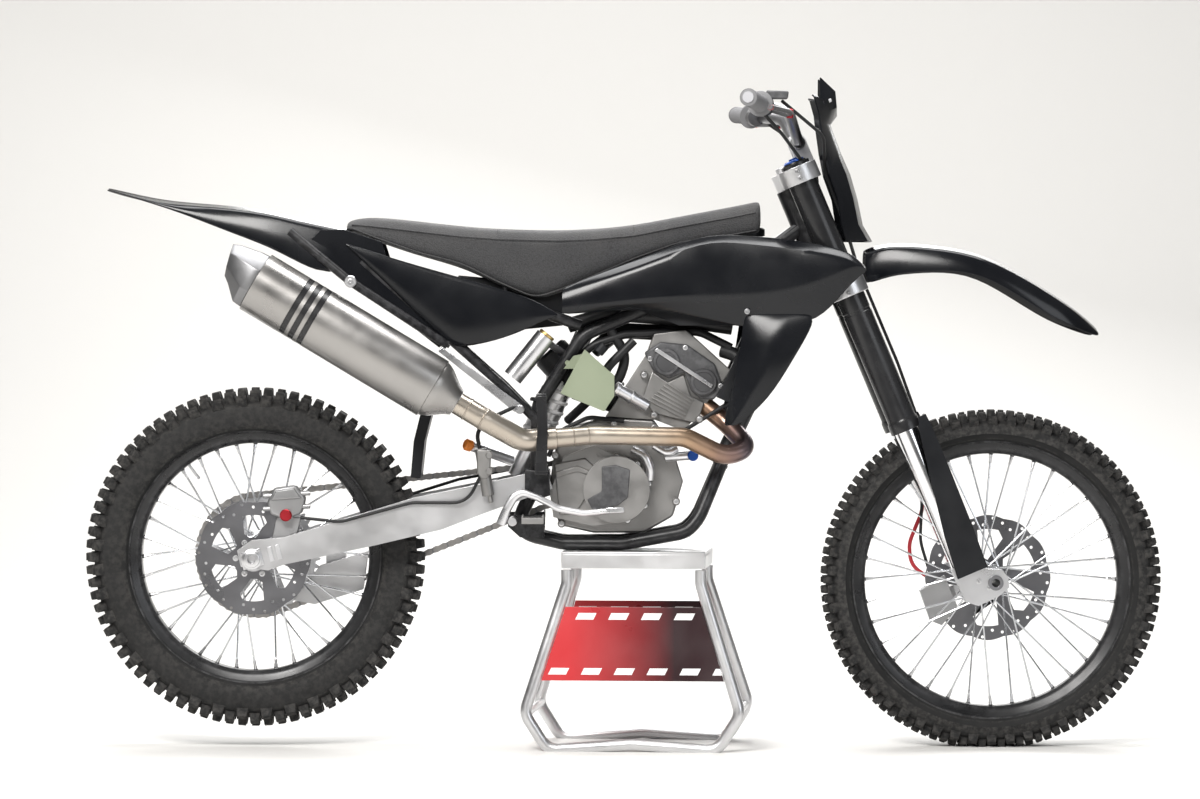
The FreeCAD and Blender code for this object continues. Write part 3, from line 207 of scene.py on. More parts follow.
def eased(points, bend):
    """The route through points with each corner rounded by an arc."""
    points = [Vector(p) for p in points]
    route = [points[0]]
    for before, corner, after in zip(points, points[1:], points[2:]):
        back, ahead = (before - corner), (after - corner)
        inward, outward = back.normalized(), ahead.normalized()
        half = acos(max(-1, min(1, inward.dot(outward)))) / 2
        reach = min(bend / tan(half), 0.48 * back.length, 0.48 * ahead.length)
        steps = max(2, ceil((pi - 2 * half) / radians(7)))
        first, last = corner + inward * reach, corner + outward * reach
        for k in range(steps + 1):
            share = k / steps
            route.append(first * (1 - share) ** 2 + corner * (2 * share * (1 - share)) + last * share ** 2)
    route.append(points[-1])
    return route


def swept(route, section, sharp=40):
    """A section of (side, up) corners carried along a route without twisting."""
    route = [Vector(p) for p in route]
    ways = [(after - before).normalized() for before, after in zip(route[:1] + route, route[1:] + route[-1:])]
    turn, points = axes_to(ways[0]), []
    count = len(section(0) if callable(section) else section)
    for k, (place, way) in enumerate(zip(route, ways)):
        if k:
            turn = ways[k - 1].rotation_difference(way).to_matrix() @ turn
        outline = section(k / (len(route) - 1)) if callable(section) else section
        points += [place + turn @ Vector((u, v, 0)) for u, v in outline]
    faces = quads(len(route), count)
    faces += [tuple(range(count))[::-1], tuple((len(route) - 1) * count + i for i in range(count))]
    return mesh_piece(points, faces, sharp)


def pipe(points, radius, bend=60, sides=22):
    """A round pipe or rod through points, its corners eased."""
    return swept(eased(points, bend), ring(radius, sides), sharp=60)


def plate(outline, y0, y1, edge=1.5):
    """A flat piece cut to an outline of (x, z) corners, from y0 to y1."""
    points = [(x, y0, z) for x, z in outline] + [(x, y1, z) for x, z in outline]
    piece = mesh_piece(points, prism_faces(len(outline)))
    return rounded(piece, edge) if edge else piece


def on_axes(outline, origin, turn_deg):
    """Corners given in turned axes, as (x, z) corners of the bike."""
    c, s = cos(radians(turn_deg)), sin(radians(turn_deg))
    return [(origin.x + x * c - z * s, origin.z + x * s + z * c) for x, z in outline]


def grid_skin(rows, wall=3.0, levels=2, crease=()):
    """A moulded shell through rows of points, thickened inwards and smoothed."""
    count = len(rows[0])
    points = [p for row in rows for p in row]
    piece = mesh_piece(points, quads(len(rows), count, count - 1), sharp=180)
    if crease:
        mesh = piece.data
        attribute = mesh.attributes.new("crease_edge", "FLOAT", "EDGE")
        for edge in mesh.edges:
            a, b = edge.vertices
            along_row = a // count != b // count
            if along_row and a % count in crease:
                attribute.data[edge.index].value = 0.7
    thick = piece.modifiers.new("wall", "SOLIDIFY")
    thick.thickness = wall * MM
    thick.offset = -1
    thick.use_even_offset = False
    smoothed(piece, levels)
    return piece


def pair(piece):
    """The piece and its mirror image in the bike's centre plane as one mesh."""
    copy = applied(piece)
    twin = shown(copy.data.copy())
    twin.data.transform(Matrix.Scale(-1, 4, (0, 1, 0)))
    twin.data.flip_normals()
    return merged([copy, twin])


def placed(name, piece, finish, replaces=(), body="chassis"):
    """Gives a finished piece its name, finish and body, and the nodes that it stands for."""
    if piece.modifiers:
        piece = applied(piece)
    piece.name = piece.data.name = name
    piece.data.materials.clear()
    piece.data.materials.append(FINISHES[finish])
    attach(piece, body)
    if replaces:
        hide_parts(*replaces)
    return piece


def joined_set(name, pieces, finish, replaces=(), body="chassis"):
    """Small pieces of one finish as one piece."""
    return placed(name, merged(pieces), finish, replaces, body)


# Geometry Nodes for what repeats
def new_tree(name, inputs):
    tree = bpy.data.node_groups.new(name, "GeometryNodeTree")
    tree.interface.new_socket(name="Geometry", in_out="OUTPUT", socket_type="NodeSocketGeometry")
    tree.interface.new_socket(name="Geometry", in_out="INPUT", socket_type="NodeSocketGeometry")
    for label, kind, default in inputs:
        socket = tree.interface.new_socket(name=label, in_out="INPUT", socket_type="NodeSocket" + kind)
        if default is not None:
            socket.default_value = default
    return tree


def node(tree, kind, **settings):
    made = tree.nodes.new(kind)
    for key, value in settings.items():
        setattr(made, key, value)
    return made


def join(tree, *wires):
    """Sets each wire's socket to its source: another socket, or a plain value."""
    for source, socket in wires:
        if hasattr(source, "links"):
            tree.links.new(source, socket)
        else:
            socket.default_value = source


def ring_tree():
    """Repeats the incoming mesh round the Y axis through Centre."""
    tree = new_tree("Repeat in a ring", [("Count", "Int", 12), ("Start", "Float", 0.0), ("Centre", "Vector", None),
            ("Material", "Material", None)])
    given = node(tree, "NodeGroupInput")
    points = node(tree, "GeometryNodePoints")
    step = node(tree, "ShaderNodeMath", operation="DIVIDE")
    angle = node(tree, "ShaderNodeMath", operation="MULTIPLY_ADD")
    euler = node(tree, "ShaderNodeCombineXYZ")
    turn = node(tree, "FunctionNodeEulerToRotation")
    spread = node(tree, "GeometryNodeInstanceOnPoints")
    join(tree, (given.outputs["Count"], points.inputs["Count"]), (given.outputs["Centre"], points.inputs["Position"]),
            (2 * pi, step.inputs[0]), (given.outputs["Count"], step.inputs[1]),
            (node(tree, "GeometryNodeInputIndex").outputs[0], angle.inputs[0]), (step.outputs[0], angle.inputs[1]),
            (given.outputs["Start"], angle.inputs[2]), (angle.outputs[0], euler.inputs["Y"]),
            (euler.outputs[0], turn.inputs[0]), (points.outputs[0], spread.inputs["Points"]),
            (given.outputs["Geometry"], spread.inputs["Instance"]), (turn.outputs[0], spread.inputs["Rotation"]))
    return finish_tree(tree, given, spread)


SPOT_VALUES = (("facing", "FLOAT_VECTOR"), ("turn", "FLOAT"), ("size", "FLOAT_VECTOR"))


def scatter_tree():
    """Sets a copy of Piece on each vertex, along its facing, turned by turn and scaled by size."""
    tree = new_tree("Set on points", [("Piece", "Object", None), ("Material", "Material", None)])
    given = node(tree, "NodeGroupInput")
    piece = node(tree, "GeometryNodeObjectInfo", transform_space="ORIGINAL")
    values = {}
    for label, kind in SPOT_VALUES:
        read = node(tree, "GeometryNodeInputNamedAttribute", data_type=kind)
        read.inputs["Name"].default_value = label
        values[label] = next(socket for socket in read.outputs if socket.enabled)
    face = node(tree, "FunctionNodeAlignRotationToVector", axis="Z")
    about = node(tree, "FunctionNodeAxisAngleToRotation")
    about.inputs["Axis"].default_value = (0, 0, 1)
    both = node(tree, "FunctionNodeRotateRotation", rotation_space="LOCAL")
    spread = node(tree, "GeometryNodeInstanceOnPoints")
    join(tree, (given.outputs["Piece"], piece.inputs["Object"]), (values["facing"], face.inputs["Vector"]),
            (values["turn"], about.inputs["Angle"]), (face.outputs[0], both.inputs["Rotation"]),
            (about.outputs[0], both.inputs["Rotate By"]), (given.outputs["Geometry"], spread.inputs["Points"]),
            (piece.outputs["Geometry"], spread.inputs["Instance"]), (both.outputs[0], spread.inputs["Rotation"]),
            (values["size"], spread.inputs["Scale"]))
    return finish_tree(tree, given, spread)


def finish_tree(tree, given, spread):
    """Makes the copies real, gives them their material and closes the tree."""
    real, paint = node(tree, "GeometryNodeRealizeInstances"), node(tree, "GeometryNodeSetMaterial")
    join(tree, (spread.outputs[0], real.inputs[0]), (real.outputs[0], paint.inputs["Geometry"]),
            (given.outputs["Material"], paint.inputs["Material"]),
            (paint.outputs[0], node(tree, "NodeGroupOutput").inputs[0]))
    return tree


def realised(base, tree, values):
    """The tree's result on base as a plain mesh object; base is removed."""
    modifier = base.modifiers.new("repeat", "NODES")
    modifier.node_group = tree
    for item in tree.interface.items_tree:
        if item.item_type == "SOCKET" and item.in_out == "INPUT" and item.name in values:
            modifier[item.identifier] = values[item.name]
    depsgraph = bpy.context.evaluated_depsgraph_get()
    mesh = bpy.data.meshes.new_from_object(base.evaluated_get(depsgraph), depsgraph=depsgraph)
    bpy.data.objects.remove(base)
    return shown(mesh)


def round_about(piece, centre, count, finish):
    """count copies of a piece made about the world's Y axis, moved to centre."""
    return realised(piece, TREES["ring"], {"Count": count, "Start": 0.0, "Centre": Vector(centre) * MM,
            "Material": FINISHES[finish]})


def set_on(piece, spots, finish):
    """Copies of piece on spots of (point, facing, turn, size)."""
    mesh = bpy.data.meshes.new("spots")
    mesh.from_pydata([Vector(spot[0]) * MM for spot in spots], [], [])
    for label, kind in SPOT_VALUES:
        mesh.attributes.new(label, kind, "POINT")
    facing, turn, size = (mesh.attributes[label].data for label, _ in SPOT_VALUES)
    for i, (_, way, angle, scale) in enumerate(spots):
        facing[i].vector = Vector(way).normalized()
        turn[i].value = angle
        size[i].vector = scale if hasattr(scale, "__len__") else (scale,) * 3
    result = realised(shown(mesh), TREES["scatter"], {"Piece": piece, "Material": FINISHES[finish]})
    bpy.data.objects.remove(piece)
    return result


def bolt(size=8, head=5):
    """A flanged hexagon bolt's head with its face upwards, sizes in millimetres."""
    profile = [(0, 0.01), (0, size * 0.92), (1.2, size * 0.92), (1.5, size * 0.62)]
    flange = lathe(profile, turns=18)
    corners = [(size * 0.62 * cos(pi / 3 * i), size * 0.62 * sin(pi / 3 * i)) for i in range(6)]
    points = [(x, y, 1) for x, y in corners] + [(x, y, head) for x, y in corners] + [(0, 0, head - 1.6)]
    faces = [(i, (i + 1) % 6, (i + 1) % 6 + 6, i + 6) for i in range(6)]
    inner = [(x * 0.6, y * 0.6, head) for x, y in corners]
    points += inner
    faces += [(6 + i, 6 + (i + 1) % 6, 13 + (i + 1) % 6, 13 + i) for i in range(6)]
    faces += [(13 + i, 13 + (i + 1) % 6, 12) for i in range(6)]
    return merged([flange, mesh_piece(points, faces, 20)])


def bolts(spots, finish, size=8, head=5):
    """Bolt heads on spots of (point, facing)."""
    return set_on(bolt(size, head), [(p, way, 0.7 * i, 1.0) for i, (p, way) in enumerate(spots)], finish)


TREES = {}


# Shader groups: each puts out only masks, values and heights
def shader_group(name, inputs, outputs):
    group = bpy.data.node_groups.new(name, "ShaderNodeTree")
    for label, default in inputs:
        socket = group.interface.new_socket(name=label, in_out="INPUT", socket_type="NodeSocketFloat")
        socket.default_value = default
    for label in outputs:
        group.interface.new_socket(name=label, in_out="OUTPUT", socket_type="NodeSocketFloat")
    given = node(group, "NodeGroupInput")
    out = node(group, "NodeGroupOutput")
    return group, given, out


def noise(group, vector, scale, detail=3.0, roughness=0.55):
    made = node(group, "ShaderNodeTexNoise")
    join(group, *((value, made.inputs[label]) for label, value in (("Vector", vector), ("Scale", scale),
            ("Detail", detail), ("Roughness", roughness))))
    return made.outputs["Fac"]


def mapped(group, value, low, high, to_low=0.0, to_high=1.0):
    made = node(group, "ShaderNodeMapRange")
    join(group, *zip((value, low, high, to_low, to_high), made.inputs))
    return made.outputs["Result"]


def sum_of(group, operation, a, b):
    made = node(group, "ShaderNodeMath", operation=operation)
    join(group, *zip((a, b), made.inputs))
    return made.outputs[0]


def object_place(group):
    return node(group, "ShaderNodeTexCoord").outputs["Object"]


def patches(group, given, amount, mask, detail, roughness, low, high):
    """A mask times noise patches of the group's Scale, times the group's value named amount."""
    patch = mapped(group, noise(group, object_place(group), given.outputs["Scale"], detail, roughness), low, high)
    return sum_of(group, "MULTIPLY", sum_of(group, "MULTIPLY", mask, patch), given.outputs[amount])


def grain_group():
    """A cast or moulded surface: a fine height and a slow tint."""
    group, given, out = shader_group("Surface grain", [("Scale", 900.0), ("Tint Scale", 14.0)], ["Height", "Tint"])
    place = object_place(group)
    slow = noise(group, place, given.outputs["Tint Scale"], 3.0, 0.5)
    join(group, (noise(group, place, given.outputs["Scale"], 4.0, 0.6), out.inputs["Height"]),
            (mapped(group, slow, 0.3, 0.7), out.inputs["Tint"]))
    return group


def wear_group():
    """Bare metal or pale plastic along edges, broken up by noise."""
    group, given, out = shader_group("Edge wear", [("Width", 0.5), ("Scale", 60.0)], ["Mask"])
    edge = mapped(group, node(group, "ShaderNodeNewGeometry").outputs["Pointiness"], 0.505, 0.56)
    join(group, (patches(group, given, "Width", edge, 5.0, 0.65, 0.42, 0.62), out.inputs["Mask"]))
    return group


def dust_group():
    """Fine dust on what faces up, in patches."""
    group, given, out = shader_group("Settled dust", [("Amount", 0.3), ("Scale", 18.0)], ["Mask"])
    split = node(group, "ShaderNodeSeparateXYZ")
    join(group, (node(group, "ShaderNodeNewGeometry").outputs["Normal"], split.inputs[0]))
    up = mapped(group, split.outputs["Z"], -0.3, 1.0)
    join(group, (patches(group, given, "Amount", up, 5.0, 0.6, 0.35, 0.7), out.inputs["Mask"]))
    return group


def scratch_group():
    """Long thin marks, as on brushed metal, drawn out along X, Y or Z by the Stretch values."""
    group, given, out = shader_group("Brushed marks", [("Stretch X", 1.0), ("Stretch Y", 1.0), ("Stretch Z", 1.0),
            ("Scale", 500.0)], ["Height"])
    stretch = node(group, "ShaderNodeCombineXYZ")
    drawn = node(group, "ShaderNodeVectorMath", operation="MULTIPLY")
    join(group, *zip(given.outputs, stretch.inputs), (object_place(group), drawn.inputs[0]),
            (stretch.outputs[0], drawn.inputs[1]))
    join(group, (noise(group, drawn.outputs[0], given.outputs["Scale"], 3.0, 0.7), out.inputs["Height"]))
    return group


GROUPS = {}
FINISHES = {}
# Place along the hot part of the pipe, and colour
HEAT_BANDS = ((0.0, (0.46, 0.41, 0.35)), (0.35, (0.45, 0.37, 0.29)), (0.55, (0.38, 0.26, 0.17)),
        (0.7, (0.31, 0.20, 0.14)), (0.82, (0.23, 0.15, 0.13)), (0.93, (0.17, 0.14, 0.16)), (1.0, (0.22, 0.16, 0.13)))


class Finish:
    """A material on a Principled shader; its colour, roughness and bump are built up in layers."""

    def __init__(self, name, colour, rough, metal=0.0, shine=None):
        self.material = bpy.data.materials.new(name)
        self.material.use_nodes = True
        self.tree = self.material.node_tree
        self.shader = self.tree.nodes["Principled BSDF"]
        self.colour = tuple(colour) + (1.0,)
        self.colour_from = None
        for label, value in {"Base Color": self.colour, "Roughness": rough, "Metallic": metal, **(shine or {})}.items():
            self.shader.inputs[label].default_value = value
        self.rough = rough
        self.heights = []

    def group(self, name, *values):
        made = node(self.tree, "ShaderNodeGroup", node_tree=GROUPS[name])
        join(self.tree, *zip(values, made.inputs))
        return made

    def mix(self, mask, colour):
        """Lays colour over what is there, where mask is 1."""
        mixer = node(self.tree, "ShaderNodeMix", data_type="RGBA")
        below, over = mixer.inputs[6], mixer.inputs[7]
        join(self.tree, (mask, mixer.inputs[0]), (self.colour if self.colour_from is None else self.colour_from, below),
                (colour if hasattr(colour, "links") else tuple(colour) + (1.0,), over))
        self.colour_from = mixer.outputs[2]
        join(self.tree, (self.colour_from, self.shader.inputs["Base Color"]))
        return self

    def grain(self, scale=900.0, bump=0.15, tint=0.12, tint_scale=14.0, uneven=0.12):
        made = self.group("Surface grain", scale, tint_scale)
        self.heights.append((made.outputs["Height"], bump, 0.0006))
        if tint:
            faded = tuple(min(1.0, c * (1 + tint) + 0.02 * tint) for c in self.colour[:3])
            self.mix(made.outputs["Tint"], faded)
        if uneven:
            self.tree.links.new(mapped(self.tree, made.outputs["Tint"], 0, 1, max(0.03, self.rough - uneven / 2),
                    min(1.0, self.rough + uneven)), self.shader.inputs["Roughness"])
        return self

    def brushed(self, x=1.0, y=1.0, z=1.0, scale=500.0, bump=0.2):
        return self.height(self.group("Brushed marks", x, y, z, scale).outputs["Height"], bump, 0.0004)

    def worn(self, colour, width=0.8, scale=60.0):
        return self.mix(self.group("Edge wear", width, scale).outputs["Mask"], colour)

    def dusty(self, amount=0.25, scale=18.0, colour=(0.42, 0.38, 0.33)):
        return self.mix(self.group("Settled dust", amount, scale).outputs["Mask"], colour)

    def heated(self):
        """Straw, bronze and dark bands along the pipe where it leaves the engine."""
        tree, place = self.tree, object_place(self.tree)
        split, ramp = node(tree, "ShaderNodeSeparateXYZ"), node(tree, "ShaderNodeValToRGB")
        wobble = mapped(tree, noise(tree, place, 30.0, 3.0), 0, 1, -0.02, 0.02)
        join(tree, (place, split.inputs[0]))
        along = sum_of(tree, "ADD", split.outputs["X"], wobble)
        join(tree, (mapped(tree, along, -0.05, 0.27), ramp.inputs["Fac"]))
        elements = ramp.color_ramp.elements
        for i, (at, colour) in enumerate(HEAT_BANDS):
            element = elements[i] if i < 2 else elements.new(at)
            element.position, element.color = at, colour + (1.0,)
        return self.mix(sum_of(tree, "ADD", 1.0, 0.0), ramp.outputs["Color"])

    def pleated(self):
        """A gripper cover: fine pleats of small ridges over a dark woven cloth."""
        tree = self.tree
        ridges = node(tree, "ShaderNodeTexVoronoi", feature="SMOOTH_F1")
        join(tree, (420.0, ridges.inputs["Scale"]), (object_place(tree), ridges.inputs["Vector"]))
        self.height(mapped(tree, ridges.outputs["Distance"], 0.1, 0.6, 1, 0), 0.5, 0.0009)
        return self.mix(mapped(tree, ridges.outputs["Distance"], 0.2, 0.7), tuple(c * 0.55 for c in self.colour[:3]))

    def striped(self):
        """A colour that darkens to the front, with a row of pale dashes at each edge of the stand's panel."""
        tree = self.tree
        split = node(tree, "ShaderNodeSeparateXYZ")
        join(tree, (object_place(tree), split.inputs[0]))
        x, z = split.outputs["X"], split.outputs["Z"]
        self.mix(mapped(tree, x, -0.11, 0.10), (0.022, 0.006, 0.008))
        lean = sum_of(tree, "ADD", x, sum_of(tree, "MULTIPLY", z, -0.5))
        wave = sum_of(tree, "FRACT", sum_of(tree, "MULTIPLY", lean, 15.4), 0.0)
        rows = [sum_of(tree, "MULTIPLY", sum_of(tree, "GREATER_THAN", z, low), sum_of(tree, "LESS_THAN", z, high))
                for low, high in ((0.268, 0.281), (0.160, 0.173))]
        dash = sum_of(tree, "MULTIPLY", sum_of(tree, "ADD", *rows), sum_of(tree, "GREATER_THAN", wave, 0.45))
        return self.mix(dash, (0.82, 0.82, 0.82))

    def height(self, socket, bump, depth):
        self.heights.append((socket, bump, depth))
        return self

    def done(self):
        """The material, with its heights laid over each other as bump."""
        bumps = [node(self.tree, "ShaderNodeBump") for _ in self.heights]
        for bump, (socket, strength, depth) in zip(bumps, self.heights):
            join(self.tree, (strength, bump.inputs["Strength"]), (depth, bump.inputs["Distance"]),
                    (socket, bump.inputs["Height"]))
        for bump, after in zip(bumps, bumps[1:] + [self.shader]):
            join(self.tree, (bump.outputs["Normal"], after.inputs["Normal"]))
        return self.material


def make_groups():
    for make in (grain_group, wear_group, dust_group, scratch_group):
        group = make()
        GROUPS[group.name] = group
    TREES["ring"] = ring_tree()
    TREES["scatter"] = scatter_tree()


SOFT_SHINE = {"Specular IOR Level": 0.3}

# The maker's name for it, the material's name, colour or the owner's setting, roughness, metal, shader values, layers
FINISH_ROWS = [
    ("spoke steel", "spoke_steel", (0.62, 0.63, 0.65), 0.24, 1.0, {}, ("grain", 600, 0.05, 0.1)),
    ("bright steel", "bright_steel", (0.58, 0.58, 0.59), 0.3, 1.0, {}, ("grain", 500, 0.08, 0.12)),
    ("dark steel", "dark_steel", (0.22, 0.22, 0.23), 0.36, 1.0, {}, ("grain", 500, 0.1, 0.15)),
    ("chrome", "chrome", (0.80, 0.80, 0.81), 0.1, 1.0, {}, ("grain", 300, 0.02, 0.05)),
    ("leg black", "leg_black", (0.012, 0.012, 0.013), 0.22, 0, {"Specular IOR Level": 0.4}, ("grain", 900, 0.05, 0.2)),
    ("cap", "cap", (0.20, 0.20, 0.205), 0.34, 0.9, {}, ("grain", 500, 0.15, 0.2)),
    ("grip", "grip", (0.17, 0.17, 0.175), 0.72, 0, {}, ("grain", 900, 0.3, 0.15)),
    ("hose", "hose", (0.012, 0.012, 0.013), 0.45, 0, SOFT_SHINE, ("grain", 900, 0.1, 0.2)),
    ("red sleeve", "red_sleeve", (0.42, 0.02, 0.03), 0.34, 0, {}, ("grain", 700, 0.08, 0.15)),
    ("red anodised", "red_anodised", (0.45, 0.03, 0.04), 0.27, 0.85, {}, ("grain", 700, 0.05, 0.1)),
    ("blue anodised", "blue_anodised", (0.03, 0.10, 0.42), 0.27, 0.85, {}, ("grain", 700, 0.05, 0.1)),
    ("brass", "brass", (0.55, 0.40, 0.16), 0.32, 0.95, {}, ("grain", 600, 0.08, 0.12)),
    ("bottle", "bottle", (0.30, 0.34, 0.24), 0.3, 0, {"Transmission Weight": 0.25, "IOR": 1.45},
        ("grain", 300, 0.05, 0.1)),
    ("spring", "spring", (0.55, 0.55, 0.56), 0.3, 0, {"Coat Weight": 0.3}, ("grain", 500, 0.05, 0.1)),
    ("orange", "orange", (0.75, 0.22, 0.03), 0.35, 0, {}, ("grain", 600, 0.05, 0.1)),
    ("chain", "chain", (0.30, 0.29, 0.28), 0.34, 1.0, {}, ("grain", 400, 0.12, 0.25, 60)),
    ("frame paint", "frame_paint", "frame_colour", 0.3, 0, SOFT_SHINE, ("grain", 1200, 0.06, 0.2),
        ("worn", (0.2, 0.2, 0.21), 0.15)),
    ("black plastic", "black_plastic", "plastic_colour", 0.17, 0, SOFT_SHINE, ("grain", 700, 0.04, 0.2, 9, 0.08)),
    ("satin plastic", "satin_plastic", "plastic_colour", 0.4, 0, {"Specular IOR Level": 0.25},
        ("grain", 800, 0.2, 0.2, 12, 0.12), ("dusty", 0.02)),
    ("tyre", "tyre_rubber", "tyre_colour", 0.7, 0, {"Specular IOR Level": 0.22}, ("grain", 420, 0.25, 0.3, 26, 0.15),
        ("worn", (0.07, 0.066, 0.062), 0.6, 90), ("dusty", 0.03, 25, (0.30, 0.27, 0.24))),
    ("rim", "rim_anodised", (0.014, 0.014, 0.015), 0.28, 0.3, {}, ("grain", 1000, 0.05, 0.2),
        ("worn", (0.3, 0.3, 0.31), 0.2, 40)),
    ("disc steel", "disc_steel", (0.17, 0.17, 0.18), 0.3, 1.0, {}, ("brushed", 0.1, 1, 0.1, 900, 0.15),
        ("grain", 300, 0.04, 0.1)),
    ("machined alloy", "machined_alloy", (0.66, 0.66, 0.675), 0.3, 1.0, {}, ("grain", 700, 0.08, 0.1),
        ("brushed", 1, 0.06, 1, 700, 0.08)),
    ("clamp alloy", "clamp_alloy", (0.60, 0.60, 0.61), 0.36, 1.0, {}, ("grain", 500, 0.14, 0.12), ("dusty", 0.1)),
    ("cast alloy", "cast_alloy", (0.235, 0.23, 0.225), 0.4, 0.9, {}, ("grain", 520, 0.4, 0.2, 20, 0.16),
        ("dusty", 0.06, 22, (0.33, 0.30, 0.26))),
    ("dark casting", "dark_casting", (0.055, 0.055, 0.058), 0.42, 0.3, {}, ("grain", 520, 0.3, 0.2, 20),
        ("worn", (0.3, 0.3, 0.31), 0.2)),
    ("swingarm alloy", "swingarm_alloy", (0.50, 0.50, 0.51), 0.34, 0.95, {}, ("grain", 600, 0.12, 0.12),
        ("brushed", 0.05, 1, 1, 600, 0.12), ("dusty", 0.15)),
    ("titanium", "titanium_pipe", (0.5, 0.42, 0.34), 0.3, 0.9, {}, ("heated",), ("grain", 500, 0.08, 0.0)),
    ("muffler", "muffler_sleeve", (0.31, 0.30, 0.29), 0.3, 0.95, {}, ("brushed", 0.05, 1, 0.05, 700, 0.2),
        ("grain", 400, 0.05, 0.15), ("dusty", 0.03)),
    ("caliper", "caliper_alloy", (0.33, 0.33, 0.335), 0.36, 0.9, {}, ("grain", 500, 0.3, 0.15), ("dusty", 0.05)),
    ("stand alloy", "stand_alloy", "stand_colour", 0.34, 0.95, {}, ("grain", 500, 0.1, 0.12),
        ("brushed", 1, 1, 0.08, 500, 0.08), ("dusty", 0.12)),
    ("seat", "seat_cover", "seat_colour", 0.74, 0, {"Sheen Weight": 0.15}, ("grain", 1500, 0.3, 0.3, 18, 0.1),
        ("pleated",), ("dusty", 0.05, 15)),
    ("panel", "stand_panel_paint", "panel_colour", 0.3, 0, {"Coat Weight": 0.4}, ("striped",),
        ("grain", 700, 0.04, 0.0, 10, 0.1)),
]


def make_finishes(colours):
    """Every material of the bike and its stand, by a maker's plain name."""
    for label, name, colour, rough, metal, shine, *layers in FINISH_ROWS:
        finish = Finish(name, getattr(colours, colour) if isinstance(colour, str) else colour, rough, metal, shine)
        for layer, *values in layers:
            getattr(finish, layer)(*values)
        FINISHES[label] = finish.done()


def dressed(node_names, finish, edge=1.0, sharp=42, corner=38, body="chassis"):
    """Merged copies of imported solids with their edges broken, standing for those solids."""
    for label in node_names:
        source = NODES[label]
        copy = shown(source.data.copy())
        shell = bmesh.new()
        shell.from_mesh(copy.data)
        bmesh.ops.remove_doubles(shell, verts=shell.verts, dist=0.00002)
        bmesh.ops.dissolve_limit(shell, angle_limit=radians(1.0), verts=shell.verts, edges=shell.edges)
        shell.to_mesh(copy.data)
        shell.free()
        copy.data.polygons.foreach_set("use_smooth", [True] * len(copy.data.polygons))
        copy.data.set_sharp_from_angle(angle=radians(sharp))
        if edge:
            bevel = copy.modifiers.new("broken_edges", "BEVEL")
            bevel.width = edge * MM
            bevel.segments = 2
            bevel.limit_method = "ANGLE"
            bevel.angle_limit = radians(corner)
            bevel.harden_normals = True
        placed(label + "_dressed", copy, finish, [label], body)


def pierced(outer, holes, y0, y1):
    """A plate with holes; every loop is a list of (x, z) corners."""
    loops = [outer] + list(holes)
    flat = [Vector((x, z, 0)) for loop in loops for x, z in loop]
    caps = tessellate_polygon([[Vector((x, z, 0)) for x, z in loop] for loop in loops])
    count = len(flat)
    points = [(v.x, y0, v.y) for v in flat] + [(v.x, y1, v.y) for v in flat]
    faces = [tuple(cap) for cap in caps] + [tuple(i + count for i in cap[::-1]) for cap in caps]
    start = 0
    for loop in loops:
        for i in range(len(loop)):
            a, b = start + i, start + (i + 1) % len(loop)
            faces.append((a, b, b + count, a + count))
        start += len(loop)
    return rounded(mesh_piece(points, faces, 35), 0.5, 1)


def circle(x, z, radius, sides=20):
    """A round loop of (x, z) corners."""
    return [(x + u, z + v) for u, v in ring(radius, sides)]


def arc_window(centre, inner, outer, start, end, steps=6):
    """A window between two radii and two angles, with its corners cut off."""
    cut = (outer - inner) * 0.22
    corners = []
    for radius, angles, ends in ((inner, (start, end), 1), (outer, (end, start), -1)):
        trim = cut / radius
        for k in range(steps + 1):
            angle = angles[0] + ends * trim + (angles[1] - angles[0] - 2 * ends * trim) * k / steps
            corners.append((radius, angle))
        corners.append((radius + (cut if ends > 0 else -cut), angles[1]))
    return [flat_polar(centre, r, a) for r, a in corners]


# Wheels
SPOKES = 36
SPOKE_CROSSING = radians(58)
VALVE_ANGLE = 2.2
FRONT_FLANGE, REAR_FLANGE = 279, 254  # the rims' radii over their flanges


# A tyre's crown: how far from its middle it runs, how far it drops there, and the power of its curve
CROWN_REACH, CROWN_DEPTH, CROWN_POWER = 0.94, 0.34, 2.4


def crown_drop(y, half):
    """How far the carcass lies below its middle at y."""
    return CROWN_DEPTH * half * (abs(y) / (CROWN_REACH * half)) ** CROWN_POWER


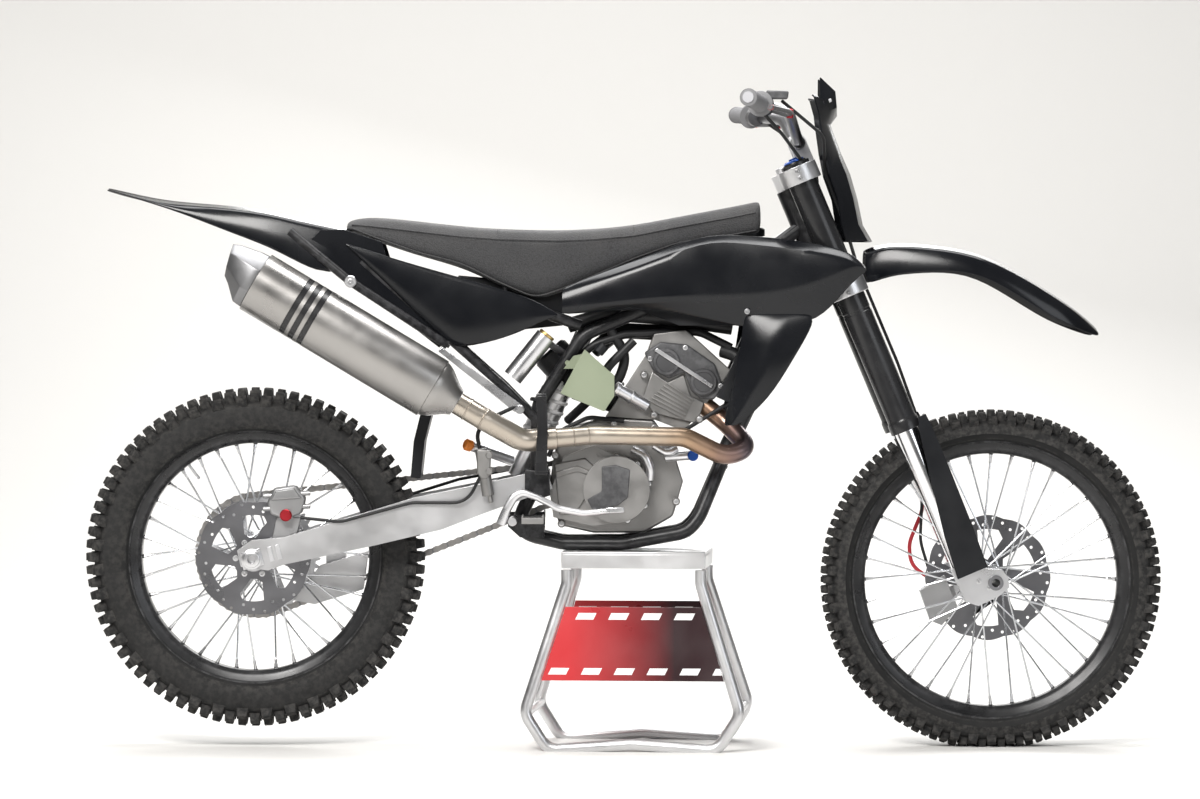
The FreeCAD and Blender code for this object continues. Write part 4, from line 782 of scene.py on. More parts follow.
def tyre(name, axle, tip, knob, width, flange, bead, knobs, pitches, body, node_name):
    """A carcass turned about the axle with its rows of knobs set round it."""
    half = width / 2
    base = tip - knob
    profile = []
    for k in range(-12, 13):
        y = CROWN_REACH * half * k / 12
        profile.append((y, base - crown_drop(y, half) - 0.4))
    shoulder = base - crown_drop(CROWN_REACH * half, half)
    side = [(half * 0.99, shoulder - 8), (half + 1.0, shoulder - 20), (half - 0.5, flange + 15), (half - 6, flange + 6),
            (half - 10, flange + 2.5), (half - 11, flange + 4), (half - 13, flange + 1.5),
            (bead + 3.0, flange - 3), (bead - 1, flange - 12)]
    profile = [(-y, r) for y, r in side[::-1]] + profile + side
    carcass = lathe(profile, axle, (0, 1, 0), 108, closed=True, sharp=50)
    blocks = []
    for y, turn, wide, length in knobs:
        for hand in ((1, -1) if y else (1,)):
            lateral = y * hand
            steepness = CROWN_POWER * CROWN_DEPTH / CROWN_REACH
            slope = atan(steepness * (abs(y) / (CROWN_REACH * half)) ** (CROWN_POWER - 1)) * hand
            radius = base - crown_drop(y, half)
            normal = Vector((0, sin(slope), cos(slope)))
            across = Vector((0, cos(slope), -sin(slope)))
            along = Vector((1, 0, 0))
            height = min(knob, (tip - 0.4 - radius) / max(0.3, normal.z)) if abs(slope) < 0.5 else knob
            foot = Vector((0, lateral, radius)) - normal * 3
            corners = []
            for up, wider in ((0.0, 1.16), (3.0, 1.1), (3.0 + height, 0.9)):
                for a, b in ((-1, -1), (1, -1), (1, 1), (-1, 1)):
                    corners.append(foot + normal * up + (across * a * wide + along * b * length) * wider / 2)
            block = mesh_piece(corners, [(0, 1, 2, 3), (11, 10, 9, 8)] + quads(3, 4), 30)
            angle = turn * 2 * pi / pitches
            block.data.transform(Matrix.Rotation(angle, 4, "Y"))
            blocks.append(rounded(block, 0.8, 2, 40))
    pitch = merged(blocks)
    tread = round_about(pitch, axle, pitches, "tyre")
    whole = merged([carcass, tread])
    whole.data.set_sharp_from_angle(angle=radians(45))
    placed(name, whole, "tyre", [node_name], body)


def make_tyres(sizes):
    front = [(10, 0.0, 15, 15), (27, 0.5, 14, 15), (38.5, 0.02, 12, 18), (0, 0.5, 13, 12)]
    tyre("front_tyre_tread", FRONT_AXLE, 340.4, sizes.front_knob, 88, FRONT_FLANGE, 17, front, sizes.front_pitches,
            "front_wheel", "front_tyre")
    rear = [(0, 0.0, 27, 16), (19, 0.5, 18, 17), (35, 0.0, 17, 19), (47, 0.5, 13, 21)]
    tyre("rear_tyre_tread", REAR_AXLE, 339, sizes.rear_knob, 106, REAR_FLANGE, 23, rear, sizes.rear_pitches,
            "rear_wheel", "rear_tyre")


def make_rims(sizes):
    for name, axle, flange, width, spread, body in (("front_rim", FRONT_AXLE, FRONT_FLANGE, 50, 6, "front_wheel"),
            ("rear_rim", REAR_AXLE, REAR_FLANGE, 62, 8, "rear_wheel")):
        half = width / 2
        profile = [(-half, flange), (-half + 2.5, flange + 1), (-half + 4.5, flange - 1), (-half + 9, flange - 16),
                (half - 9, flange - 16), (half - 4.5, flange - 1), (half - 2.5, flange + 1), (half, flange),
                (half, flange - 4), (half - 3, flange - 7), (half - 5, flange - 17), (half - 12, flange - 25.5),
                (half - 17, flange - 27), (17 - half, flange - 27), (12 - half, flange - 25.5),
                (5 - half, flange - 17), (3 - half, flange - 7), (-half, flange - 4)]
        placed(name + "_turned", lathe(profile, axle, (0, 1, 0), 120, True, 38), "rim", [name], body)
        spots = []
        for i in range(SPOKES):
            angle = 2 * pi * i / SPOKES
            point = polar(axle, flange - 29.5, angle, (-1) ** i * spread)
            spots.append((point, polar(Vector(), 1, angle), 0, (4.4, 4.4, 3.4)))
        eyelet = lathe([(0, 0.01), (0, 0.8), (0.5, 1), (1, 1), (1, 0.01)], turns=14)
        placed(name + "_eyelets", set_on(eyelet, spots, "rim"), "rim", body=body)
        placed(name + "_valve", barrel(polar(axle, flange - 62, VALVE_ANGLE), polar(axle, flange - 26, VALVE_ANGLE),
                3.2, 0, 1, 16), "bright steel", body=body)


def make_spokes(sizes):
    wheels = (("front", FRONT_AXLE, 27, 252, 26, 6, "front_wheel"), ("rear", REAR_AXLE, 36, 227, 34, 8, "rear_wheel"))
    for side, axle, hub, rim_radius, flange, spread, body in wheels:
        wires, nipples = [], []
        for i in range(SPOKES):
            hand, way = (-1) ** i, (-1) ** (i // 2)
            rim_angle = 2 * pi * i / SPOKES
            start = polar(axle, hub, rim_angle + way * SPOKE_CROSSING, hand * (flange + way * 2.6))
            end = polar(axle, rim_radius, rim_angle, hand * spread)
            along = end - start
            wires.append((start, along, 0, (sizes.spoke_radius, sizes.spoke_radius, along.length)))
            nipples.append((end - along.normalized() * 19, along, 0, (3.3, 3.3, 18)))
        rod_mesh = lathe([(0, 0.01), (0, 1), (1, 1), (1, 0.01)], turns=10)
        placed(side + "_spokes", set_on(rod_mesh, wires, "spoke steel"), "spoke steel", body=body)
        nut = lathe([(0, 0.01), (0, 0.75), (0.1, 0.85), (0.55, 0.85), (0.6, 1.1), (1, 1.1), (1, 0.01)],
                turns=8)
        placed(side + "_nipples", set_on(nut, nipples, "bright steel"), "bright steel", body=body)


def make_hubs(sizes):
    for name, axle, half, flange_radius, flange, bore, waist, body in (
            ("front_hub", FRONT_AXLE, 70, 31, 26, 11.1, 20, "front_wheel"),
            ("rear_hub", REAR_AXLE, 78, 40, 34, 12.6, 26.5, "rear_wheel")):
        profile = symmetric([(-half, bore), (-half, waist - 1), (-half + 1, waist), (-flange - 12, waist),
                (-flange - 5, waist + 3), (-flange - 4, flange_radius - 1.5), (-flange - 2.5, flange_radius),
                (-flange + 2.5, flange_radius), (-flange + 4, flange_radius - 1.5), (-flange + 6, waist - 1),
                (-flange + 14, waist - 6)])
        placed(name + "_turned", lathe(profile, axle, (0, 1, 0), 72, True, 35), "machined alloy", [name], body)
        spots = [(polar(axle, flange_radius - 4.5, radians(20 * i + 8), hand * (flange + 3.6)), (0, hand, 0), 0,
                (2.7, 2.7, 1.4)) for i in range(SPOKES // 2) for hand in (1, -1)]
        head = lathe([(0, 0.01), (0, 1), (0.6, 0.9), (1, 0.5), (1, 0.01)], turns=10)
        placed(name + "_spoke_heads", set_on(head, spots, "spoke steel"), "spoke steel", body=body)


def disc_loops(axle, radius, inner, bore, waves, depth, holes, arms):
    """The scalloped edge of a brake disc, and its bore, windows and holes."""
    outer, count = [], waves * 10
    for i in range(count):
        angle = 2 * pi * i / count
        swell = 0.5 + 0.5 * cos(waves * angle)
        outer.append(flat_polar(axle, radius - depth * (1 - swell ** 0.6), angle))
    cuts = [circle(axle.x, axle.z, bore, 40)]
    for i in range(arms):
        start = 2 * pi * i / arms
        cuts.append(arc_window(axle, bore + 14, inner, start + 0.16, start + 2 * pi / arms - 0.16))
    for i in range(holes):
        angle = 2 * pi * (i + 0.5) / holes
        r = inner + (radius - inner) * (0.3, 0.55, 0.78)[i % 3]
        cuts.append(circle(*flat_polar(axle, r, angle), 3.1, 10))
    return outer, cuts


def make_discs(sizes):
    outer, cuts = disc_loops(FRONT_AXLE, 126.5, 98, 20.5, 12, 4, 36, 6)
    placed("front_disc_cut", pierced(outer, cuts, 65.2, 68.8), "disc steel", ["front_disc"], "front_wheel")
    outer, cuts = disc_loops(REAR_AXLE, 114.5, 86, 27, 10, 4, 30, 6)
    placed("rear_disc_cut", pierced(outer, cuts, -73.8, -70.2), "disc steel", ["rear_disc"], "rear_wheel")
    for name, axle, radius, y, way, body in (("front_disc_bolts", FRONT_AXLE, 28, 69, 1, "front_wheel"),
            ("rear_disc_bolts", REAR_AXLE, 35, -74, -1, "rear_wheel"),
            ("rear_sprocket_bolts", REAR_AXLE, 35, 71, 1, "rear_wheel")):
        spots = [(polar(axle, radius, pi / 3 * i, y), (0, way, 0)) for i in range(6)]
        placed(name, bolts(spots, "bright steel", 6.5, 4), "bright steel", body=body)


# Chain
CHAIN_PITCH = 15.875
CHAIN_Y = 68
REAR_TEETH, FRONT_TEETH = 48, 13
FRONT_SPROCKET = PIVOT + Vector((74, 0, 4))


def pitch_radius(teeth):
    """The radius of a sprocket's roller centres."""
    return CHAIN_PITCH / (2 * sin(pi / teeth))


def chain_joints():
    """The chain's joints, in order round the rear wheel's sprocket and the countershaft's."""
    big, small = pitch_radius(REAR_TEETH), pitch_radius(FRONT_TEETH)
    run = FRONT_SPROCKET - REAR_AXLE
    angle = atan2(run.z, run.x)
    lean = asin((big - small) / run.length)
    top, low = angle + pi / 2 - lean, angle - pi / 2 + lean
    step, small_step = 2 * pi / REAR_TEETH, 2 * pi / FRONT_TEETH
    rear = [polar(REAR_AXLE, big, i * step) for i in range(int(top // step), ceil((low + 2 * pi) / step) + 1)]
    wraps = int((top - low) / small_step)
    front = [polar(FRONT_SPROCKET, small, angle + (i - wraps / 2) * small_step) for i in range(wraps + 1)]
    lower = max(1, round((front[0] - rear[-1]).length / CHAIN_PITCH))
    upper = max(1, round((rear[0] - front[-1]).length / CHAIN_PITCH))
    if (len(rear) - 1 + len(front) - 1 + lower + upper) % 2:
        upper += 1
    back = [rear[-1] + (front[0] - rear[-1]) * (i / lower) for i in range(1, lower)]
    return rear + back + front + [front[-1] + (rear[0] - front[-1]) * (i / upper) for i in range(1, upper)]


def link_plates(inner, outer, roller):
    """A pair of waisted link plates between two joints, with pins or rollers; its width is along Z."""
    outline = []
    for end in (1, -1):
        for k in range(7):
            angle = -pi / 2 + pi * k / 6
            outline.append((end * (CHAIN_PITCH / 2 + 6.6 * cos(angle)), end * 6.6 * sin(angle)))
        outline.append((end * 1.2, end * 4.9))
    parts = []
    for side in (1, -1):
        points = [(x, y, side * inner) for x, y in outline] + [(x, y, side * outer) for x, y in outline]
        parts.append(mesh_piece(points, prism_faces(len(outline)), 30))
    for x in (-CHAIN_PITCH / 2, CHAIN_PITCH / 2):
        reach = inner if roller else outer + 0.9
        radius = 4.6 if roller else 2.3
        parts.append(lathe([(0, 0.01), (0, radius), (2 * reach, radius), (2 * reach, 0.01)], (x, 0, -reach),
                (0, 0, 1), 12))
    return merged(parts)


def make_chain(sizes):
    joints = chain_joints()
    spots = ([], [])
    for i, joint in enumerate(joints):
        after = joints[(i + 1) % len(joints)]
        along = after - joint
        middle = (joint + after) / 2 + Vector((0, CHAIN_Y, 0))
        spots[i % 2].append((middle, (0, 1, 0), -atan2(along.z, along.x), 1.0))
    placed("chain_outer_links", set_on(link_plates(5.5, 7.1, False), spots[0], "chain"), "chain", ["chain"])
    placed("chain_inner_links", set_on(link_plates(3.4, 5.2, True), spots[1], "chain"), "dark steel")


def toothed_outline(centre, teeth, phase=0.0):
    """Teeth with round gaps for the rollers."""
    radius = pitch_radius(teeth)
    step = 2 * pi / teeth
    outline = []
    for i in range(teeth):
        middle = (i + 0.5) * step + phase
        for share, reach in ((-0.34, -4.6), (-0.25, -1.6), (-0.15, 2.0), (-0.07, 4.2), (0.07, 4.2), (0.15, 2.0),
                (0.25, -1.6), (0.34, -4.6)):
            angle = middle + share * step
            outline.append(flat_polar(centre, radius + reach, angle))
    return outline


def make_sprockets(sizes):
    rib = 0.13
    cuts = [circle(REAR_AXLE.x, REAR_AXLE.z, 27, 40)]
    cuts += [arc_window(REAR_AXLE, 43, 104, pi / 3 * i + rib, pi / 3 * (i + 1) - rib, 8) for i in range(6)]
    placed("rear_sprocket_cut", pierced(toothed_outline(REAR_AXLE, REAR_TEETH), cuts, 65.3, 70.7), "machined alloy",
            ["rear_sprocket"], "rear_wheel")
    joints = chain_joints()
    near = min(joints, key=lambda p: abs((p - FRONT_SPROCKET).length - pitch_radius(FRONT_TEETH)))
    phase = atan2(near.z - FRONT_SPROCKET.z, near.x - FRONT_SPROCKET.x)
    placed("front_sprocket_cut", pierced(toothed_outline(FRONT_SPROCKET, FRONT_TEETH, phase),
            [circle(FRONT_SPROCKET.x, FRONT_SPROCKET.z, 10, 24)], 65.3, 70.7), "dark steel", ["countershaft_sprocket"])


# Fork and controls
def make_fork(sizes):
    for hand, side in ((-1, "right"), (1, "left")):
        y = hand * LEG_Y
        up = LEG_UP
        placed(side + "_lower_leg", barrel(on_fork(56, 0, y), on_fork(348, 0, y), 24, 0, 1, 56), "chrome",
                ["fork_inner_tubes"], "steering")
        profile = [(0, 22), (0, 30), (1, 31.4), (20, 31.4), (23, 30.2), (26, 29), (250, 29), (251, 28.2), (256, 28.2),
                (257, 29), (572, 29), (572, 24), (575, 23.2), (575, 0.01)]
        placed(side + "_upper_leg", lathe(profile, on_fork(345, 0, y), up, 64), "leg black",
                ["fork_outer_tubes"], "steering")
        placed(side + "_fork_cap", lathe([(0, 0.01), (0, 21), (4, 21), (5, 19), (5, 9), (9, 8.4), (9, 0.01)],
                on_fork(919, 0, y), up, 40), "blue anodised", body="steering")
    dressed(["axle_lugs"], "machined alloy", 2.5, body="steering")
    dressed(["fork_guards"], "satin plastic", 1.2, body="steering")
    dressed(["lower_clamp", "upper_clamp"], "clamp alloy", 2.2, body="steering")
    dressed(["front_axle"], "dark steel", 0.8, body="steering")
    places = [(up, -2, 39) for up in (640, 660, 886, 900)] + [(-4, 30, 24), (16, 16, 24)]
    spots = [(on_fork(up, ahead, hand * (LEG_Y + out)), (0, hand, 0))
            for up, ahead, out in places for hand in (-1, 1)]
    placed("fork_bolts", bolts(spots, "bright steel", 6, 4), "bright steel", body="steering")


BAR = on_fork(954, 25)
HALF_BAR = [(0, 0, 0), (0, 62, 0), (-22, 165, 54), (-82, 284, 66), (-110, 402, 74)]


def bar_point(index, hand=1):
    """A corner of the handlebar's right (-1) or left (1) half."""
    x, y, z = HALF_BAR[index]
    return Vector((BAR.x + x, hand * y, BAR.z + z))


def make_handlebar(sizes):
    route = [bar_point(i, -1) for i in (4, 3, 2, 1)] + [bar_point(i) for i in (1, 2, 3, 4)]
    bar = pipe(route, 11, 80)
    thick = lathe([(0, 11), (12, 14.2), (112, 14.2), (124, 11)], (BAR.x, -62, BAR.z), (0, 1, 0), 40)
    placed("handlebar_bent", merged([bar, thick]), "dark steel", ["handlebar"], "steering")
    dressed(["bar_clamps"], "machined alloy", 1.5, body="steering")
    for hand, side in ((-1, "right"), (1, "left")):
        start, end = bar_point(3, hand), bar_point(4, hand)
        way = (end - start).normalized()
        profile = [(0, 11), (0, 24), (4, 25), (6, 22), (7, 17)]
        along = 7.0
        while along < 118:
            profile += [(along + 1.2, 16.9), (along + 2.0, 16.0), (along + 4.2, 16.0), (along + 5.0, 16.9)]
            along += 5.6
        profile += [(117, 17.2), (119, 15), (119, 0.01)]
        placed(side + "_grip", lathe(profile, start, way, 36, sharp=60), "grip", ["grips"], "steering")
        perch = start - way * 34
        hinge = perch + Vector((50, 0, -15))
        tip = hinge + way * 169 + Vector((-4, 0, -6))
        knee = hinge + way * 70 + Vector((10, 0, -2))
        placed(side + "_lever_blade", swept(eased([hinge - way * 6, knee, tip], 60),
                lambda t: [(u * (6.5 - 2.2 * t), v * (4.2 - 0.6 * t)) for u, v in ring(1, 14)]), "dark casting",
                body="steering")
        placed(side + "_lever_tip", lathe([(-6, 0.01), (-5, 4), (-2, 6), (2, 6), (5, 4), (6, 0.01)], tip,
                (0, 0, 1), 18), "red anodised", body="steering")
        placed(side + "_lever_pivot", barrel(hinge + Vector((0, 0, -9)), hinge + Vector((0, 0, 9)), 7, 0, 1.5, 20),
                "red anodised", body="steering")
    dressed(["levers"], "dark casting", 1.2, body="steering")
    right = bar_point(3, -1)
    way = (right - bar_point(4, -1)).normalized()
    master = plate([(-22, -9), (20, -9), (22, 6), (-22, 8)], -14, 14, 3)
    master.data.transform(Matrix.Translation((right + way * 34 + Vector((26, 0, 22))) * MM))
    placed("brake_reservoir", master, "dark casting", body="steering")
    placed("throttle_housing", lathe([(0, 11), (0, 19), (3, 22), (24, 22), (27, 19), (27, 11)], right + way * 2,
            way, 32), "satin plastic", body="steering")
    routes = [[right + way * 14 + Vector((4, 0, -18)), right + way * 60 + Vector((30, 0, -52)),
            Vector((BAR.x + 12, -96, BAR.z - 46)), Vector((BAR.x + 42, -58, BAR.z - 96)),
            Vector((392, -44, 1060)), Vector((372, -36, 1010))],
            [bar_point(3) - (bar_point(4) - bar_point(3)).normalized() * 30 + Vector((26, 0, -14)),
            Vector((BAR.x + 30, 150, BAR.z - 10)), Vector((BAR.x + 44, 70, BAR.z - 66)),
            Vector((390, 46, 1050)), Vector((360, 40, 1000))],
            [right + way * 40 + Vector((34, 0, 10)), Vector((BAR.x + 46, -170, BAR.z + 8)),
            Vector((BAR.x + 52, -84, BAR.z - 60)), Vector((on_fork(760, 46, -70))), Vector((on_fork(690, 46, 60)))]]
    cables = [pipe(route, 3.4, 60, 12) for route in routes]
    joined_set("bar_cables", cables, "hose", body="steering")


def make_number_plate(sizes):
    """An angular plate whose upper edge runs out into two tall horns and two low ones."""
    skin = []
    for z, back, front, half in ((1018, 440, 497, 92), (1050, 430, 478, 108), (1102, 423, 467, 118),
            (1150, 406, 453, 121), (1196, 397, 433, 118), (1250, 389, 413, 104)):
        skin.append([(front, 0, z), (front - 3, half * 0.42, z), (front - 13, half * 0.74, z), (back, half, z)])
    skin += [[(426, 0, 1268), (424, 38, 1284), (409, 68, 1276), (386, 98, 1273)],
            [(424, 0, 1286), (421, 37, 1316), (399, 60, 1299), (377, 93, 1304)],
            [(416, 0, 1291), (391, 40, 1344), (391, 56, 1303), (373, 90, 1308)]]
    placed("number_plate_moulded", applied(grid_skin([both_halves(row) for row in skin], 3, 0), 22), "black plastic",
            ["number_plate"], "steering")
    slots = [plate([(408, 1292), (413, 1295), (411, 1301), (406, 1299)], hand * 60, hand * 64, 0.5)
            for hand in (-1, 1)]
    joined_set("plate_inserts", slots, "clamp alloy", body="steering")


def fender_rows(rows):
    """A fender's skin from (x, crown, edge, half width)."""
    skin = []
    for x, crown, edge, half in rows:
        skin.append(both_halves([(x, 0, crown + 0.5), (x, half * 0.3, crown), (x, half * 0.42, crown - 3),
                (x, half * 0.86, crown - 7), (x, half * 0.97, edge * 0.5 + crown * 0.5), (x, half, edge)]))
    return skin


def make_fenders(sizes):
    front = [(478, 1000, 925, 62), (520, 1016, 947, 78), (600, 1012, 956, 96), (694, 1000, 957, 110),
            (777, 960, 909, 112), (846, 918, 864, 106), (898, 884, 842, 92), (946, 843, 826, 62)]
    placed("front_fender_moulded", grid_skin(fender_rows(front), 3, 2, (2, 4, 6, 8)), "black plastic",
            ["front_fender"], "steering")
    rear = [(-538, 1040, 1000, 84), (-578, 1050, 944, 96), (-640, 1062, 970, 98), (-700, 1078, 1004, 98),
            (-782, 1089, 1034, 94), (-860, 1094, 1066, 86), (-935, 1102, 1092, 74), (-1032, 1126, 1121, 40)]
    placed("rear_fender_moulded", grid_skin(fender_rows(rear), 3, 2, (2, 4, 6, 8)), "black plastic", ["rear_fender"])


def make_front_brake(sizes):
    dressed(["front_caliper"], "caliper", 1, body="steering")
    pistons = [barrel(on_fork(up, -72, 84), on_fork(up, -72, 92), 15, 0, 2, 28) for up in (-6, 16)]
    joined_set("front_caliper_caps", pistons, "caliper", body="steering")
    route = [on_fork(37, -60, 78), on_fork(120, -52, 74), on_fork(230, 0, 70), on_fork(330, 38, 76),
            on_fork(470, 46, 88), on_fork(700, 46, 90)]
    placed("red_brake_hose", pipe([(606, 76, 536), (602, 82, 474), (576, 82, 410), (580, 80, 366), (620, 78, 338)], 4,
            60, 14), "red sleeve", body="steering")
    placed("front_brake_line", pipe(route, 3.2, 90, 14), "hose", ["front_brake_hose"], "steering")


# Frame, arm and suspension
NECK = Vector((205, 0, 600))
TOP_JOINT = PIVOT + Vector((92, 0, 292))
POST_Y = 39


def on_stem(up, y=0, back=0):
    """A point on the steering stem's axis, or behind it."""
    return on_fork(up, -22 - back, y)


def make_frame(sizes):
    dressed(["frame"], "frame paint", 1.2, 44, 50)
    post = [(PIVOT.x, POST_Y, PIVOT.z), (PIVOT.x, POST_Y + 9, PIVOT.z + 60), (PIVOT.x, POST_Y + 9, PIVOT.z + 150),
            (TOP_JOINT.x, POST_Y + 9, TOP_JOINT.z), on_stem(767.3, 30, 130), on_stem(797.3, 10, 8)]
    cradle = [(NECK.x, 8, NECK.z), (150, 56, 470), (126, 64, 440), (-2, 64, 417), (-119, 54, 417), (-222, POST_Y, 440),
            (PIVOT.x, POST_Y, PIVOT.z)]
    tubes = [pipe([(x, y * hand, z) for x, y, z in route], 13.7, 60, 26) for hand in (1, -1)
            for route in (post, cradle)]
    tubes.append(pipe([on_stem(727.3, 0, 4), NECK], 17.7, 60, 28))
    tubes.append(lathe([(0, 14.1), (0, 28), (1, 29), (8, 29), (9, 27), (200, 27), (201, 29), (208, 29),
            (209, 28), (209, 14.1)], on_stem(667.3), LEG_UP, 56, True))
    joined_set("frame_tubes_round", tubes, "frame paint")
    welds = []
    for hand in (1, -1):
        for point, way in (((PIVOT.x, hand * (POST_Y + 9), TOP_JOINT.z - 130), (0.1, 0, 1)),
                ((NECK.x - 12, hand * 18, NECK.z - 28), (-0.4, hand * 0.4, -0.9))):
            welds.append(lathe([(-3, 14), (-1.5, 15.2), (1.5, 15.2), (3, 14)], point, way, 28))
    joined_set("frame_welds", welds, "frame paint")


def make_subframe(sizes):
    dressed(["subframe"], "frame paint", 0.8, 44, 50)
    rail = [(TOP_JOINT.x - 7, 62, TOP_JOINT.z + 18), (-200, 84, 890), (-420, 84, 958), (-640, 70, 1012)]
    brace = [(PIVOT.x, 73, 660), (-240, 84, 730), (-520, 84, 978)]
    stay = [(-662, 88, 1036), (-541, 97, 937), (-349, 92, 811)]
    rails = [pipe([(x, y * hand, z) for x, y, z in route], *form) for hand in (1, -1)
            for route, *form in ((rail, 11.1, 80, 22), (brace, 9.1, 60, 20), (stay, 9.1, 20, 20))]
    joined_set("subframe_tubes_round", rails, "frame paint")


def make_swingarm(sizes):
    dressed(["swingarm"], "swingarm alloy", 5)
    dressed(["rear_axle"], "dark steel", 0.8)
    dressed(["pivot_bolt"], "bright steel", 0.8)
    turn = degrees(atan2(PIVOT.z - REAR_AXLE.z, PIVOT.x - REAR_AXLE.x))
    blocks = []
    for hand in (-1, 1):
        face = hand * 114
        blocks.append(plate(on_axes([(-21, -17), (21, -17), (21, 17), (-21, 17)], REAR_AXLE, turn), face - 0.2,
                face + hand * 3.4, 1.2))
        for x in (34, 50):
            blocks.append(plate(on_axes([(x, -15), (x + 9, -15), (x + 9, 15), (x, 15)], REAR_AXLE, turn),
                    face - 0.2, face + hand * 1.6, 0.8))
    joined_set("axle_blocks", blocks, "machined alloy")
    profile = [(0, 8), (0, 19), (2, 20), (5, 20), (6, 17), (12, 16), (13, 14), (13, 8)]
    nuts = [lathe(profile, (REAR_AXLE.x, hand * 117, REAR_AXLE.z), (0, hand, 0), 24, closed=True)
            for hand in (-1, 1)]
    joined_set("rear_axle_nuts", nuts, "bright steel")
    placed("chain_slider_pad", plate(on_axes([(250, 31), (430, 38), (560, 28), (600, 22), (600, 27), (560, 34),
            (430, 44), (250, 37)], REAR_AXLE, turn), 86, 116, 1.5), "satin plastic")
    dressed(["chain_guide"], "swingarm alloy", 1)


def make_shock(sizes):
    dressed(["shock_absorber"], "machined alloy", 1)
    low = Vector((-215, 0, 548))
    way = (TOP_JOINT - low).normalized()
    turn, coil = axes_to(way), []
    radius, turns, steps, rise = 27, 7, 20, 150
    for k in range(turns * steps + 1):
        angle = 2 * pi * k / steps
        coil.append(low + way * (72 + rise * k / (turns * steps))
                + turn @ Vector((radius * cos(angle), radius * sin(angle), 0)))
    placed("shock_spring", swept(coil, ring(5.2, 12)), "spring")
    placed("reservoir_cap", barrel((-155, -84, 829), (-151, -84, 834), 17, 0, 1.5, 28), "brass")


# Bodywork
def make_panels(sizes):
    rows = []
    for x, low, top in ((-553, 1011, 1014), (-500, 963, 997), (-430, 893, 975), (-352, 817, 953), (-326, 803, 946),
            (-233, 825, 919), (-175, 853, 901), (-130, 869, 872)):
        swell = min(5, (top - low) * 0.04)
        rows.append([(x, -95.5, low), (x, -97 - swell, low * 0.7 + top * 0.3),
                (x, -96.5 - swell, low * 0.3 + top * 0.7), (x, -95.5, top)])
    placed("side_panels_moulded", pair(grid_skin(rows, 3, 2, (0, 3))), "black plastic", ["side_panels"])


# x, then the heights of lower edge, fold, crease and top, then the half widths of fold and waist
FIN_ROWS = [(-129, 868, 880, 914, 926, 112, 106), (31, 886, 898, 962, 984, 122, 104),
        (154, 864, 900, 1020, 1034, 140, 116), (237, 842, 904, 1012, 1030, 158, 132),
        (312, 846, 912, 1004, 1024, 176, 150), (382, 856, 934, 992, 1012, 184, 160),
        (430, 912, 955, 983, 1001, 184, 166), (455, 939, 966, 976, 987, 182, 170), (476, 957, 960, 963, 965, 178, 176)]
# z, then x and half width of three corners from the front edge back
SCOOP_ROWS = [(875, 236, 142.5, 307, 159, 378, 166), (846, 232, 146, 303, 172, 372, 170),
        (780, 222, 150, 277, 176, 332, 174), (705, 205, 142, 246, 168, 287, 166),
        (651, 194, 130, 209, 156, 224, 154)]


def make_shrouds(sizes):
    rows = []
    for x, low, fold, crease, top, wide, waist in FIN_ROWS:
        rows.append([(x, -waist, low), (x, -waist * 0.4 - wide * 0.6, low * 0.4 + fold * 0.6), (x, -wide, fold),
                (x, -wide - 1.5, (fold + crease) / 2), (x, -wide + 4, crease), (x, -waist + 6, top)])
    fin = grid_skin(rows, 3, 2, (2, 4))
    rows = []
    for z, x0, y0, x1, y1, x2, y2 in SCOOP_ROWS:
        rows.append([(x2, -y2, z), (x1, -y1, z), (x0 * 0.6 + x1 * 0.4, -y0 * 0.5 - y1 * 0.5, z), (x0, -y0, z)])
    scoop = grid_skin(rows, 3, 2, (1,))
    whole = pair(merged([fin, scoop]))
    whole.data.set_sharp_from_angle(angle=radians(38))
    placed("shrouds_moulded", whole, "black plastic", ["shrouds"])
    spots = [((x, hand * y, z), (0, hand, 0)) for x, y, z in ((242, 152, 878), (-541, 110, 937), (-60, 113, 895))
            for hand in (-1, 1)]
    placed("bodywork_bolts", bolts(spots, "bright steel", 6, 3), "bright steel")
    flank = [(-640, 1000), (-600, 1040), (-553, 1040), (-480, 1016), (-470, 985), (-425, 893), (-352, 817),
            (-366, 806), (-510, 918), (-575, 955)]
    joined_set("fender_flanks", [plate(flank, hand * 87, hand * 91, 1) for hand in (-1, 1)], "black plastic")
    joined_set("stay_washers", [barrel((-541, hand * 98, 937), (-541, hand * 110, 937), 12, 0, 1.5, 28)
            for hand in (-1, 1)], "bright steel")
    dressed(["fuel_tank"], "satin plastic", 3)
    placed("filler_cap", lathe([(0, 26), (6, 26), (7, 30), (20, 30), (23, 27), (24, 0.01)], (252, 0, 1022),
            (0, 0, 1), 30), "satin plastic")
    dressed(["airbox"], "satin plastic", 3)
    dressed(["coolant_tank"], "bottle", 5)
    placed("coolant_cap", barrel((-52, -98, 796), (-38, -98, 812), 11, 0, 2, 24), "satin plastic")


def make_radiators(sizes):
    dressed(["radiators"], "satin plastic", 2)
    fins = []
    for hand in (-1, 1):
        for k in range(26):
            share = (k + 0.5) / 26
            low = Vector((224, 0, 690)).lerp(Vector((296, 0, 846)), share)
            fins.append(plate([(low.x - 34, low.z + 15), (low.x + 1.5, low.z - 1.5), (low.x + 2, low.z - 0.2),
                    (low.x - 33.5, low.z + 16.2)], hand * 76, hand * 124, 0))
    joined_set("radiator_fins", fins, "machined alloy")


SEAT_HALF = 76
